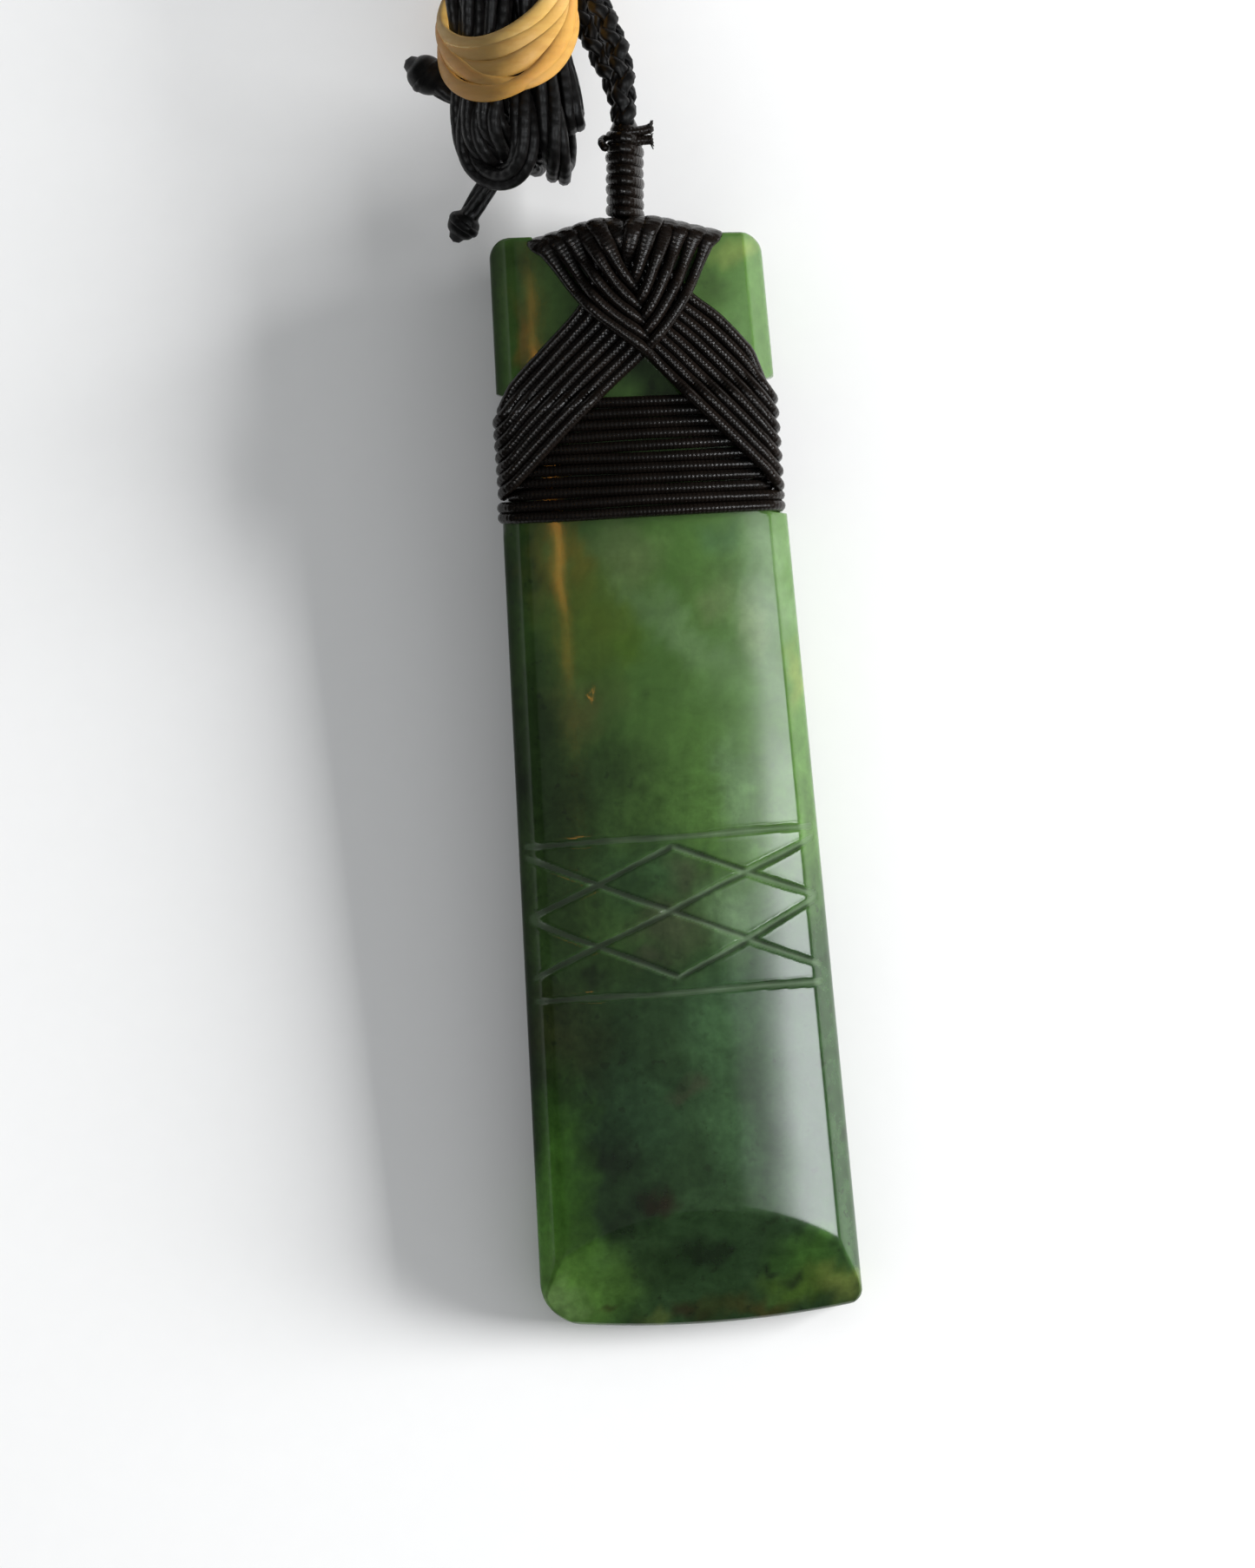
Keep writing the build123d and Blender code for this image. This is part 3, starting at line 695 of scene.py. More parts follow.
def floors(v):
    """Left and right notch floor at v, blended where the floors step."""
    k = np.clip((np.asarray(v, float) - 61.6) / 0.8, 0, 1)
    return FLOOR["left_low"] + (FLOOR["left"] - FLOOR["left_low"]) * k, FLOOR["right_low"] + (FLOOR["right"] - FLOOR["right_low"]) * k


def ring_point(a, v, grow):
    """The outline of the lashed section grown by grow, its points in order from the middle of the
    front to the right side, along the back, and up the left side. a is not used."""
    left, right = floors(v)
    corner = 0.7 + grow
    left, right = left + grow, right + grow
    low = BACK_FLOOR - grow
    # the outline's points, the front following the crown
    def side_top(x):
        return crown(x, grow)
    pts = [
        (0.0, side_top(0.0)), (right * 0.5, side_top(right * 0.5)), (right - corner, side_top(right - corner)),
        (right - corner * 0.29, side_top(right - corner * 0.4) - corner * 0.27), (right, side_top(right) - corner * 0.8),
        (right, (low + side_top(right)) / 2), (right, low + corner), (right - corner * 0.29, low + corner * 0.29),
        (right - corner, low), (right * 0.4, low), (0.0, low), (-left * 0.4, low), (-left + corner, low),
        (-left + corner * 0.29, low + corner * 0.29), (-left, low + corner), (-left, (low + side_top(left)) / 2),
        (-left, side_top(left) - corner * 0.8), (-left + corner * 0.29, side_top(left - corner * 0.4) - corner * 0.27),
        (-left + corner, side_top(left - corner)), (-left * 0.5, side_top(left * 0.5)),
    ]
    return pts


def make_band():
    m = Mesh()
    turns, first, pitch = 11, 60.70, 0.812
    pts = []
    for k in range(turns):
        v = first + pitch * k
        ring = ring_point(0, v, GAP + THREAD / 2)
        n = len(ring)
        # a turn runs from the middle of the back, up the left side, over the front and back again
        for i in range(n):
            at = (i + 10) % n
            u, w = ring[at]
            step = pitch * np.clip((i / n - 0.86) / 0.14, 0, 1)
            wave = 0.03 * math.sin(2.1 * k + 0.9 * at) + 0.04 * math.sin(0.55 * at + k)
            pts.append((u, v + step + wave - 0.026 * u, w))
    line = smooth_line(pts, 0.42)
    p = stone(line[:, 0], line[:, 1], line[:, 2])
    t, n = carried(p, (0, 0, 1))
    tube(m, p, THREAD / 2 * MM, THREAD / 2 * 1.04 * MM, n, sides=12)
    o = m.make("lashing_band_turns", lashing_mat)
    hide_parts("lashing_band")
    return o


# outlines of the two crossing ribbons, seen from the front: the line of the outermost strand on each side
RIBBON_A_LOW = [dict(u=-6.40, v=81.3), dict(u=-3.25, v=76.3), dict(u=0.75, v=72.75), dict(u=3.95, v=69.10), dict(u=7.55, v=65.1), dict(u=10.1, v=62.25)]
RIBBON_A_HIGH = [dict(u=1.90, v=81.3), dict(u=2.6, v=79.0), dict(u=4.25, v=76.4), dict(u=6.35, v=74.55), dict(u=8.4, v=72.15), dict(u=9.85, v=69.75)]
RIBBON_B_LOW = [dict(u=6.40, v=81.0), dict(u=5.15, v=78.3), dict(u=3.80, v=75.85), dict(u=1.55, v=73.15), dict(u=-2.5, v=69.75), dict(u=-5.7, v=67.0), dict(u=-9.9, v=63.1)]
RIBBON_B_HIGH = [dict(u=-1.7, v=81.2), dict(u=-2.4, v=78.2), dict(u=-3.45, v=75.95), dict(u=-6.0, v=73.4), dict(u=-8.75, v=70.75), dict(u=-9.95, v=69.2)]
STRAND_COUNT = 8
RIDGE_TOP, RIDGE_FOOT = (-0.2, 81.1), (1.13, 72.9)


def ridge_u(v):
    k = (RIDGE_TOP[1] - v) / (RIDGE_TOP[1] - RIDGE_FOOT[1])
    return RIDGE_TOP[0] + (RIDGE_FOOT[0] - RIDGE_TOP[0]) * k


def plan_line(low, high, share):
    a = smooth_line([(r["u"], r["v"], 0) for r in low], 0.2)
    b = smooth_line([(r["u"], r["v"], 0) for r in high], 0.2)
    n = 60
    a = np.stack([np.interp(np.linspace(0, 1, n), np.linspace(0, 1, len(a)), a[:, k]) for k in range(2)], 1)
    b = np.stack([np.interp(np.linspace(0, 1, n), np.linspace(0, 1, len(b)), b[:, k]) for k in range(2)], 1)
    return a + (b - a) * share


def inside_ribbon(p, low, high):
    """Whether plan points lie between a ribbon's two outer strands, with half a thread to spare."""
    a, b = plan_line(low, high, -0.06), plan_line(low, high, 1.06)
    poly = np.concatenate([a, b[::-1]])
    x, y = p[:, 0], p[:, 1]
    inside = np.zeros(len(p), bool)
    j = len(poly) - 1
    for i in range(len(poly)):
        xi, yi, xj, yj = *poly[i], *poly[j]
        hit = ((yi > y) != (yj > y)) & (x < (xj - xi) * (y - yi) / (yj - yi + 1e-12) + xi)
        inside ^= hit
        j = i
    return inside


def blurred(values, count):
    k = np.exp(-0.5 * (np.arange(-3 * count, 3 * count + 1) / count) ** 2)
    k /= k.sum()
    pad = np.pad(values.astype(float), 3 * count, mode="edge")
    return np.convolve(pad, k, mode="valid")


def top_v(u):
    """How high the thread stands over the stone's top edge."""
    return np.interp(u, [-6.8, -1.9, 2.2, 6.8], [81.5, 82.6, 82.45, 81.2])


def make_cross():
    m = Mesh()
    for ribbon, low, high, other in (
        ("b", RIBBON_B_LOW, RIBBON_B_HIGH, (RIBBON_A_LOW, RIBBON_A_HIGH)),
        ("a", RIBBON_A_LOW, RIBBON_A_HIGH, (RIBBON_B_LOW, RIBBON_B_HIGH)),
    ):
        sgn = 1.0 if ribbon == "a" else -1.0       # the side of the stone that the ribbon wraps
        for k in range(STRAND_COUNT):
            share = k / (STRAND_COUNT - 1)
            plan = plan_line(low, high, share)
            plan = even(np.c_[plan, np.zeros(len(plan))], 0.25)[:, :2]
            wob = 0.03 * np.sin(np.linspace(0, 9, len(plan)) + 2.3 * k)
            plan = plan + wob[:, None] * np.array([0.7, 0.7 * sgn])
            under = inside_ribbon(plan, *other)
            beyond = (plan[:, 0] - ridge_u(plan[:, 1])) * sgn
            over = under & (beyond < 0)
            if ribbon == "a" and k == 0:
                over = under
            on_band = plan[:, 1] < 69.45
            level = np.maximum(blurred(over, 2), blurred(on_band, 2))
            thick = GAP + THREAD * 0.5 + level * (THREAD * 0.94 + GAP)
            thick = thick + np.interp(plan[:, 1], [77.5, 81.5], [0.0, 0.25])
            lie = 0.034 * plan[:, 0]
            front = np.c_[plan, crown(plan[:, 0], 0) + thick, lie, 0 * lie, 1 + 0 * lie]
            # round the side of the bar, over the band
            v_end = plan[-1, 1]
            v_side = v_end - 0.35
            layer = float(np.clip((69.6 - v_side) / 1.3, 0.25, 1.0))
            wall = (FLOOR["right"] if sgn > 0 else FLOOR["left"]) + GAP + THREAD * (0.5 + layer) + GAP * layer
            front = front[np.abs(front[:, 0]) < wall - 0.62]
            w_top = float(front[-1, 2])
            back_low = BACK_FLOOR - GAP - THREAD * (0.5 + layer) - GAP * layer
            side = [
                (sgn * (wall - 0.13), v_end - 0.12, w_top - 0.52, 0.8 * sgn, 0, 0.6),
                (sgn * wall, v_side + 0.03, w_top - 1.4, sgn, 0, 0.1),
                (sgn * wall, v_side, (w_top + back_low) / 2, sgn, 0, 0),
                (sgn * wall, v_side + 0.03, back_low + 1.3, sgn, 0, -0.1),
                (sgn * (wall - 0.16), v_end - 0.12, back_low + 0.45, 0.8 * sgn, 0, -0.6),
            ]
            # and back up behind, to the top edge
            back_level = np.maximum(blurred(under & (beyond > 0), 2), blurred(on_band, 2))[::-1]
            back_plan = plan[::-1]
            back_w = BACK_FLOOR - GAP - THREAD * 0.5 - back_level * (THREAD * 0.94 + GAP)
            back_w = back_w + np.interp(back_plan[:, 1], [78.5, 81.0], [0.0, 0.9])
            zero = 0 * back_w
            back = np.c_[back_plan, back_w, zero, zero, zero - 1]
            back = back[np.abs(back[:, 0]) < wall - 0.7]
            # over the top edge, closing up towards the neck
            u0 = plan[0, 0]
            lifted = (u0 < RIDGE_TOP[0]) if ribbon == "a" else (u0 > RIDGE_TOP[0])
            crest = top_v(u0) - (0.34 if lifted or abs(u0) > 2.3 else 0.60)
            u1 = u0 - sgn * 0.75 * share
            fell = float(top_v(u1 - 0.3) - top_v(u1 + 0.3)) / 0.6
            w_f, w_b = float(front[0, 2]), float(back[-1, 2])
            over_top = [
                (u0 + (u1 - u0) * 0.8, crest - 0.30, w_b + 0.7, 0, 0.7, -0.7), (u1, crest, w_b + 1.8, fell, 1, -0.2),
                (u1, crest + 0.02, 3.3, fell, 1, 0), (u1, crest, w_f - 1.7, fell, 1, 0.2),
                (u0 + (u1 - u0) * 0.7, crest - 0.24, w_f - 0.55, 0, 0.7, 0.7),
            ]
            cut = front[(front[:, 1] < crest - 0.45)]
            cut_back = back[(back[:, 1] < crest - 0.45)]
            pts = np.concatenate([cut[::2], np.array(side), cut_back[::2], np.array(over_top)])
            line = smooth_line(pts, 0.40, closed=True)
            p = stone(line[:, 0], line[:, 1], line[:, 2])
            top = soft_step((line[:, 1] - 78.5) / 2.4)
            flat = (THREAD / 2) * (0.98 - 0.23 * top)
            peak = soft_step((line[:, 1] - (crest - 1.1)) / 0.9)
            wide = (THREAD / 2) * (1.03 + 0.50 * top + 0.55 * peak)
            tube(m, p, flat * MM, wide * MM, unit(line[:, 3:6]), sides=12, closed=True, along0=1.37 * k)
    # the last turns, laid along the top edge and drawn up to the neck on both sides
    for k, w in enumerate((5.15, 4.40, 3.62, 2.84, 2.06, 1.30)):
        bow = 0.10 * math.sin(1.7 * k)
        ends = 0.25 * abs(w - 3.3)
        pts = [
            (-6.35 + ends * 0.3, 80.55, w), (-6.30, 81.02, w), (-5.2, 81.42 + bow * 0.3, w), (-3.6, 81.80, w), (-2.2, 82.12, w),
            (-1.2, 82.26 + bow * 0.3, w), (0.1, 82.22, w), (1.4, 82.20, w), (2.3, 82.06, w), (3.8, 81.72 + bow * 0.2, w), (5.4, 81.30, w),
            (6.25, 80.92, w), (6.35 - ends * 0.3, 80.5, w),
        ]
        line = smooth_line(pts, 0.35)
        line[:, 1] -= 0.20
        p = stone(line[:, 0], line[:, 1], line[:, 2])
        tube(m, p, THREAD / 2 * MM, THREAD / 2 * MM, np.tile((0, 1.0, 0), (len(p), 1)), sides=12, along0=0.9 * k)
    o = m.make("lashing_cross_strands", lashing_mat)
    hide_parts("lashing_cross")
    return o


band = make_band()
cross = make_cross()

# the whipped neck: the thread wound tight round both plaits, and its trimmed end
NECK_U, NECK_V0, NECK_V1, NECK_LEAN, NECK_W = 0.16, 82.3, 89.2, math.radians(3.7), 3.3
NECK_A, NECK_B = 1.42, 2.35


def make_neck():
    m = Mesh()
    pitch, flat = 0.78, 0.27
    run = (NECK_V1 - NECK_V0) / math.cos(NECK_LEAN)
    turns = (run - pitch) / pitch
    n = int(turns * 44)
    a = np.linspace(0, turns * 2 * math.pi, n)
    s = pitch / 2 + (run - pitch) * a / a[-1]
    ra = NECK_A - flat + 0.03 * np.sin(a * 0.37 + 1.0)
    rb = NECK_B - flat + 0.03 * np.sin(a * 0.29)
    u = NECK_U + ra * np.cos(a) * math.cos(NECK_LEAN) + s * math.sin(NECK_LEAN)
    v = NECK_V0 - ra * np.cos(a) * math.sin(NECK_LEAN) + s * math.cos(NECK_LEAN)
    w = NECK_W + rb * np.sin(a)
    p = stone(u, v, w)
    out = np.stack([np.cos(a) / ra, 0 * a, np.sin(a) / rb], axis=1)
    tube(m, p, flat * MM, 0.43 * MM, unit(out), sides=12)
    # what fills it
    core = stone(
        NECK_U + np.linspace(0.2, run - 0.1, 16) * math.sin(NECK_LEAN),
        NECK_V0 + np.linspace(0.2, run - 0.1, 16) * math.cos(NECK_LEAN), NECK_W,
    )
    tube(m, core, (NECK_A - flat * 1.3) * MM, (NECK_B - flat * 1.3) * MM, np.tile((1.0, 0, 0), (16, 1)), sides=28)
    # the thread's two trimmed ends, pulled out side by side near the top
    rng = np.random.default_rng(11)
    for dv, reach in ((0.36, 2.45), (-0.34, 2.36)):
        stub = [(0.5, 88.35 + dv, 5.2), (1.35, 88.40 + dv, 4.85), (2.0, 88.45 + dv * 1.05, 4.55), (reach, 88.50 + dv * 1.15, 4.45)]
        line = smooth_line(stub, 0.12)
        p = stone(line[:, 0], line[:, 1], line[:, 2])
        tt, nn = carried(p, (0, 0, 1))
        tube(m, p, 0.35 * MM, 0.37 * MM, nn, sides=12)
        for i in range(20):
            a0 = rng.uniform(0, 2 * math.pi)
            r0 = 0.32 * math.sqrt(rng.uniform(0, 1))
            q0 = np.array([reach - 0.1, 88.5 + dv * 1.15 + r0 * math.cos(a0), 4.45 + r0 * math.sin(a0)])
            far = rng.uniform(0.14, 0.42)
            lean = np.array([1.0, 0.9 * math.cos(a0) + 0.5 * np.sign(dv) + rng.uniform(-0.3, 0.3), 0.6 * math.sin(a0) - 0.1])
            q1 = q0 + 0.5 * far * np.array([1.0, 0.4 * lean[1], 0.4 * lean[2]])
            q2 = q0 + far * lean
            line = smooth_line([q0, q1, q2], 0.10)
            p = stone(line[:, 0], line[:, 1], line[:, 2])
            tt, nn = carried(p, (0, 0, 1))
            tube(m, p, np.linspace(0.085, 0.04, len(p)) * MM, np.linspace(0.085, 0.04, len(p)) * MM, nn, sides=5)
    # where it was started, a small bump on the other side
    bump_line = smooth_line([(-0.95, 87.7, 5.0), (-1.12, 88.0, 4.6), (-1.15, 88.3, 4.0), (-0.95, 88.5, 3.4)], 0.12)
    p = stone(bump_line[:, 0], bump_line[:, 1], bump_line[:, 2])
    tt, nn = carried(p, (0, 0, 1))
    tube(m, p, 0.3 * MM, 0.3 * MM, nn, sides=10)
    o = m.make("neck_whipping_turns", lashing_mat)
    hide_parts("neck_whipping")
    return o


neck = make_neck()

# ---- the stone -------------------------------------------------------------------------
HALF_W_BLADE, HALF_W_TOP = 12.0, 10.04
BAR_TOP_V, TOP_SLOPE = 81.2, -0.048
GROOVES = [
    dict(name="upper_rule", u0=-13.0, v0=36.6, u1=13.0, v1=36.6, deep=0.24),
    dict(name="lower_rule", u0=-13.0, v0=25.1, u1=13.0, v1=25.1, deep=0.24),
    dict(name="cross_rise", u0=-11.6, v0=26.4, u1=11.2, v1=36.0, deep=0.27),
    dict(name="cross_fall", u0=-11.2, v0=36.0, u1=11.6, v1=25.9, deep=0.20),
    dict(name="diamond_ne", u0=0.2, v0=35.9, u1=11.6, v1=31.1, deep=0.24),
    dict(name="diamond_se", u0=0.1, v0=26.2, u1=11.6, v1=31.7, deep=0.26),
    dict(name="diamond_sw", u0=0.1, v0=26.2, u1=-11.5, v1=31.5, deep=0.19),
    dict(name="diamond_nw", u0=0.2, v0=35.9, u1=-11.5, v1=30.9, deep=0.25),
]
GROOVE_HALF = 0.25


def half_w(v):
    return HALF_W_BLADE + (HALF_W_TOP - HALF_W_BLADE) * np.asarray(v, float) / 81.4


def blade_v(u):
    return (np.asarray(u, float) - 0.6) ** 2 / 150.0


def soft_min(a, b, k):
    h = np.maximum(k - np.abs(a - b), 0) / k
    return np.minimum(a, b) - h * h * k * 0.25


def side_u(v, left):
    """Distance of the long edge from the axis, with the notch for the lashing."""
    v = np.asarray(v, float)
    plain = half_w(v)
    low, deep = (10.00, 9.05) if left else (9.60, 8.80)
    into = soft_step((v - (60.15 if left else 60.08)) / 0.2)
    further = soft_step((v - 61.9) / 0.4)
    out = soft_step((v - (69.25 if left else 69.95)) / 0.45)
    floor = low + (deep - low) * further
    return plain + (floor - plain) * into * (1 - out)


def stone_front(u, v, edge):
    """Height of the front over the back, before the edge is rounded. edge, the distance to the outline, is not used.
    """
    top = crown(u)
    z0 = BAR_THICK - 10.7**2 / 60.0
    facet = z0 - 1.5385 * (np.abs(u) - 10.7) - 0.02924 * v
    k = np.where(u < 0, 0.80, 0.20)
    h = soft_min(top, facet, k)
    h = soft_min(h, 1.44 + 0.58 * v, 0.22)
    # hand polish: a very slight unevenness
    h = h + 0.006 * np.sin(0.31 * v + 0.5 * np.sin(0.7 * u)) * np.cos(0.42 * u + 0.4) + 0.004 * np.sin(1.05 * v + 0.8 * u)
    cut, rim, lower = groove_depth(u, v)
    cut = cut - rim
    # a few small pits
    for pu, pv, pr, pd in ((-5.35, 47.6, 0.34, 0.10), (-4.85, 48.1, 0.22, 0.06), (-5.0, 46.9, 0.18, 0.05), (-3.4, 47.2, 0.16, 0.05)):
        cut = cut + pd * np.exp(-(((u - pu) ** 2 + (v - pv) ** 2) / pr**2))
    return h - cut


def axis_values(stops):
    """Positions along an axis from a table of stretches: start, end, spacing."""
    out = [stops[0]["a"]]
    for r in stops:
        n = max(1, int(round((r["b"] - r["a"]) / r["step"])))
        out.extend(np.linspace(r["a"], r["b"], n + 1)[1:])
    return np.array(out)


def make_stone(material):
    # rows: height above the blade edge; columns: share of the way from the left edge to the right
    rows = axis_values([
        dict(a=0.0, b=0.35, step=0.06), dict(a=0.35, b=3.2, step=0.14), dict(a=3.2, b=9.4, step=0.21),
        dict(a=9.4, b=23.6, step=0.33), dict(a=23.6, b=38.0, step=0.125), dict(a=38.0, b=59.4, step=0.42),
        dict(a=59.4, b=62.6, step=0.16), dict(a=62.6, b=69.2, step=0.8), dict(a=69.2, b=71.4, step=0.12),
        dict(a=71.4, b=79.3, step=0.42), dict(a=79.3, b=80.85, step=0.14), dict(a=80.85, b=81.2, step=0.06),
    ])
    cols = axis_values([
        dict(a=0.0, b=0.02, step=0.0025), dict(a=0.02, b=0.09, step=0.0055), dict(a=0.09, b=0.91, step=0.0092),
        dict(a=0.91, b=0.98, step=0.0055), dict(a=0.98, b=1.0, step=0.0025),
    ])
    nr, nc = len(rows), len(cols)
    H, S = np.meshgrid(rows, cols, indexing="ij")
    share = H / 81.2
    # corner rounding in plan pulls the ends of the first and last rows in
    def corner(h, r):
        return np.where(h < r, r - np.sqrt(np.maximum(r * r - (r - np.minimum(h, r)) ** 2, 0)), 0.0)
    v_axis = H
    left = side_u(v_axis, True) - corner(H, 3.0) - corner(81.2 - H, 1.5)
    right = side_u(v_axis, False) - corner(H, 1.0) - corner(81.2 - H, 1.5)
    U = -left + (left + right) * S
    V = blade_v(U) * (1 - share) + H + TOP_SLOPE * U * share
    # distance to the outline, for rounding its edge
    d_side = np.minimum(U + left, right - U)
    d_low, d_top = H, 81.2 - H
    edge = np.minimum(np.minimum(d_side, d_low), d_top)
    W = stone_front(U, V, edge)
    r_edge = 0.30
    x = np.clip(edge, 0, r_edge)
    W = W - (r_edge - np.sqrt(np.maximum(r_edge**2 - (r_edge - x) ** 2, 0)))
    # the lashed stretch is rounded over like the thread that turns round it
    lashed = soft_step((V - 59.7) / 0.4) * (1 - soft_step((V - np.where(U < 0, 69.20, 69.90)) / 0.45))
    r_big = 0.8
    xb = np.clip(d_side, 0, r_big)
    W = W - lashed * (r_big - np.sqrt(np.maximum(r_big**2 - (r_big - xb) ** 2, 0))) * 0.9
    W = np.maximum(W, 0.9)
    # the thread bears on the top edge
    notch = soft_step((6.9 - np.abs(U)) / 0.8)
    V = V - notch * np.maximum(0, V - 80.0)
    floor = BACK_FLOOR * soft_step((V - 59.9) / 0.15)
    m = Mesh()
    front = stone(U, V, W).reshape(-1, 3)
    i, j = np.meshgrid(np.arange(nr - 1), np.arange(nc - 1), indexing="ij")
    a = i * nc + j
    quads = np.stack([a, a + 1, a + nc + 1, a + nc], axis=-1).reshape(-1, 4)
    m.add(front, quads)
    # the outline, once round, anticlockwise from above
    loop = np.concatenate([
        np.arange(nc), np.arange(1, nr) * nc + nc - 1, (nr - 1) * nc + np.arange(nc - 2, -1, -1), np.arange(nr - 2, 0, -1) * nc,
    ])
    lu, lv, lw, lf = U.ravel()[loop], V.ravel()[loop], W.ravel()[loop], floor.ravel()[loop]
    # inwards, for the rounding of the back's edge
    nxt, prv = np.roll(np.arange(len(loop)), -1), np.roll(np.arange(len(loop)), 1)
    tu, tv = lu[nxt] - lu[prv], lv[nxt] - lv[prv]
    tl = np.maximum(np.hypot(tu, tv), 1e-9)
    iu, iv = -tv / tl, tu / tl
    total = nr * nc
    rings = [loop]
    for share_h, inset in ((0.62, 0.0), (0.3, 0.0), (None, 0.0), (None, 0.12), (None, 0.4)):
        if share_h is not None:
            w = lf + 0.4 + (lw - lf - 0.4) * share_h
        else:
            w = lf + 0.4 - np.sqrt(np.maximum(0.16 - (0.4 - inset) ** 2, 0)) if inset > 0 else lf + 0.4
            if inset > 0:
                w = lf + 0.4 - math.sqrt(max(0.16 - (0.4 - inset) ** 2, 0))
        base = m.add(stone(lu + iu * inset, lv + iv * inset, w), None)
        ring = base + np.arange(len(loop))
        prev = rings[-1]
        q = np.stack([prev[nxt], prev, ring, ring[nxt]], axis=-1)
        m.q.append(q)
        m.uq.append(np.zeros((len(q), 4, 2)))
        rings.append(ring)
    # the back: strips from the left edge to the right, row by row, and the two short ends
    last = rings[-1]
    n_low, n_side = nc, nr - 1
    right_side = last[nc - 1 : nc - 1 + nr]          # from the blade up
    left_side = np.concatenate([[last[0]], last[::-1][: nr - 2], [last[2 * nc + nr - 3]]])
    low_edge = last[:nc]
    top_edge = last[nc - 1 + nr - 1 : nc - 1 + nr - 1 + nc]
    q = np.stack([right_side[1:-3], left_side[1:-3], left_side[2:-2], right_side[2:-2]], axis=-1)
    m.q.append(q)
    m.uq.append(np.zeros((len(q), 4, 2)))
    # fans over the blade end and the top end
    mid_low = m.add(stone([0.0], [1.2], [0.0]), None)
    fan = []
    chain = np.concatenate([[left_side[1]], low_edge, [right_side[1]]])
    for x0, x1 in zip(chain[:-1], chain[1:]):
        fan.append((x1, x0, mid_low))
    fan.append((left_side[1], right_side[1], mid_low))
    mid_top = m.add(stone([0.0], [79.6], [BACK_FLOOR]), None)
    chain = np.concatenate([[right_side[-3]], [right_side[-2]], top_edge, [left_side[-2]], [left_side[-3]]])
    for x0, x1 in zip(chain[:-1], chain[1:]):
        if x0 != x1:
            fan.append((x1, x0, mid_top))
    fan.append((right_side[-3], left_side[-3], mid_top))
    m.t.append(np.array(fan, int))
    m.ut.append(np.zeros((len(fan), 3, 2)))
    verts = np.concatenate(m.v)
    # charted colour zones, in the stone's frame, as masks for the material
    zu = verts[:, 0] / MM - SHIFT[0]
    zv = (verts[:, 1] / MM - SHIFT[1]) * math.cos(LEAN) + (verts[:, 2] / MM - SHIFT[2]) * math.sin(LEAN)
    cut, rim, lower = groove_depth(zu, zv)
    ground_away = np.clip(cut / 0.16, 0, 1)
    ground_away[total:] = 0
    # painted shade: a mask of each cut's lower wall, which is darkened in the colour
    fall = lower * ground_away
    tints = stone_tints(zu, zv)
    light = tints @ np.array([0.25, 0.65, 0.10])
    floats = dict(ground=ground_away, fall=fall, speck=1 - soft_step((light - 0.030) / 0.045), mottle=1 - 0.45 * soft_step((zv - 38.0) / 8.0),
                  sheen=0.5 - 0.46 * (1 - soft_step((half_w(zv) + zu - 0.9) / 0.9)), satin=0.075 * soft_step((zu - 2.0) / 3.0))
    o = m.make("greenstone_blade", material, floats, dict(tint=tints))
    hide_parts("toki")
    return o


# tints of the stone, as reflectances, and the chart of where each one lies: centre, half sizes,
# turn in degrees, strength, and how soft the rim is. Some zones are painted light: the warm
# lamp's streak and its glow, and the window's faint highlight on the right
PALETTE = [
    dict(tint="mid", r=0.047, g=0.100, b=0.023), dict(tint="grey_olive", r=0.082, g=0.118, b=0.045),
    dict(tint="olive", r=0.105, g=0.090, b=0.014), dict(tint="yellow_green", r=0.062, g=0.100, b=0.014),
    dict(tint="yellow_deep", r=0.048, g=0.095, b=0.011), dict(tint="teal", r=0.036, g=0.080, b=0.033),
    dict(tint="moss", r=0.043, g=0.085, b=0.021), dict(tint="moss_dark", r=0.028, g=0.055, b=0.014),
    dict(tint="pale_green", r=0.092, g=0.155, b=0.066), dict(tint="fresh", r=0.060, g=0.120, b=0.034),
    dict(tint="pinkish", r=0.220, g=0.235, b=0.150), dict(tint="strip_olive", r=0.100, g=0.142, b=0.034),
    dict(tint="brown_olive", r=0.075, g=0.080, b=0.024), dict(tint="deep", r=0.017, g=0.034, b=0.011),
    dict(tint="night", r=0.009, g=0.013, b=0.008), dict(tint="grey_green", r=0.090, g=0.145, b=0.075),
    dict(tint="teal_dark", r=0.021, g=0.050, b=0.021), dict(tint="brown_grey", r=0.038, g=0.045, b=0.024),
    dict(tint="olive_dark", r=0.028, g=0.037, b=0.011), dict(tint="umber", r=0.019, g=0.013, b=0.008),
    dict(tint="leaf", r=0.050, g=0.135, b=0.019), dict(tint="leaf_light", r=0.062, g=0.138, b=0.025),
    dict(tint="leaf_pale", r=0.120, g=0.200, b=0.070), dict(tint="yellow_olive", r=0.130, g=0.165, b=0.036),
    # the last tint here is a painted reflection of the warm lamp
    dict(tint="rust", r=0.036, g=0.028, b=0.007), dict(tint="warm_lamp_reflection", r=0.160, g=0.095, b=0.020),
]
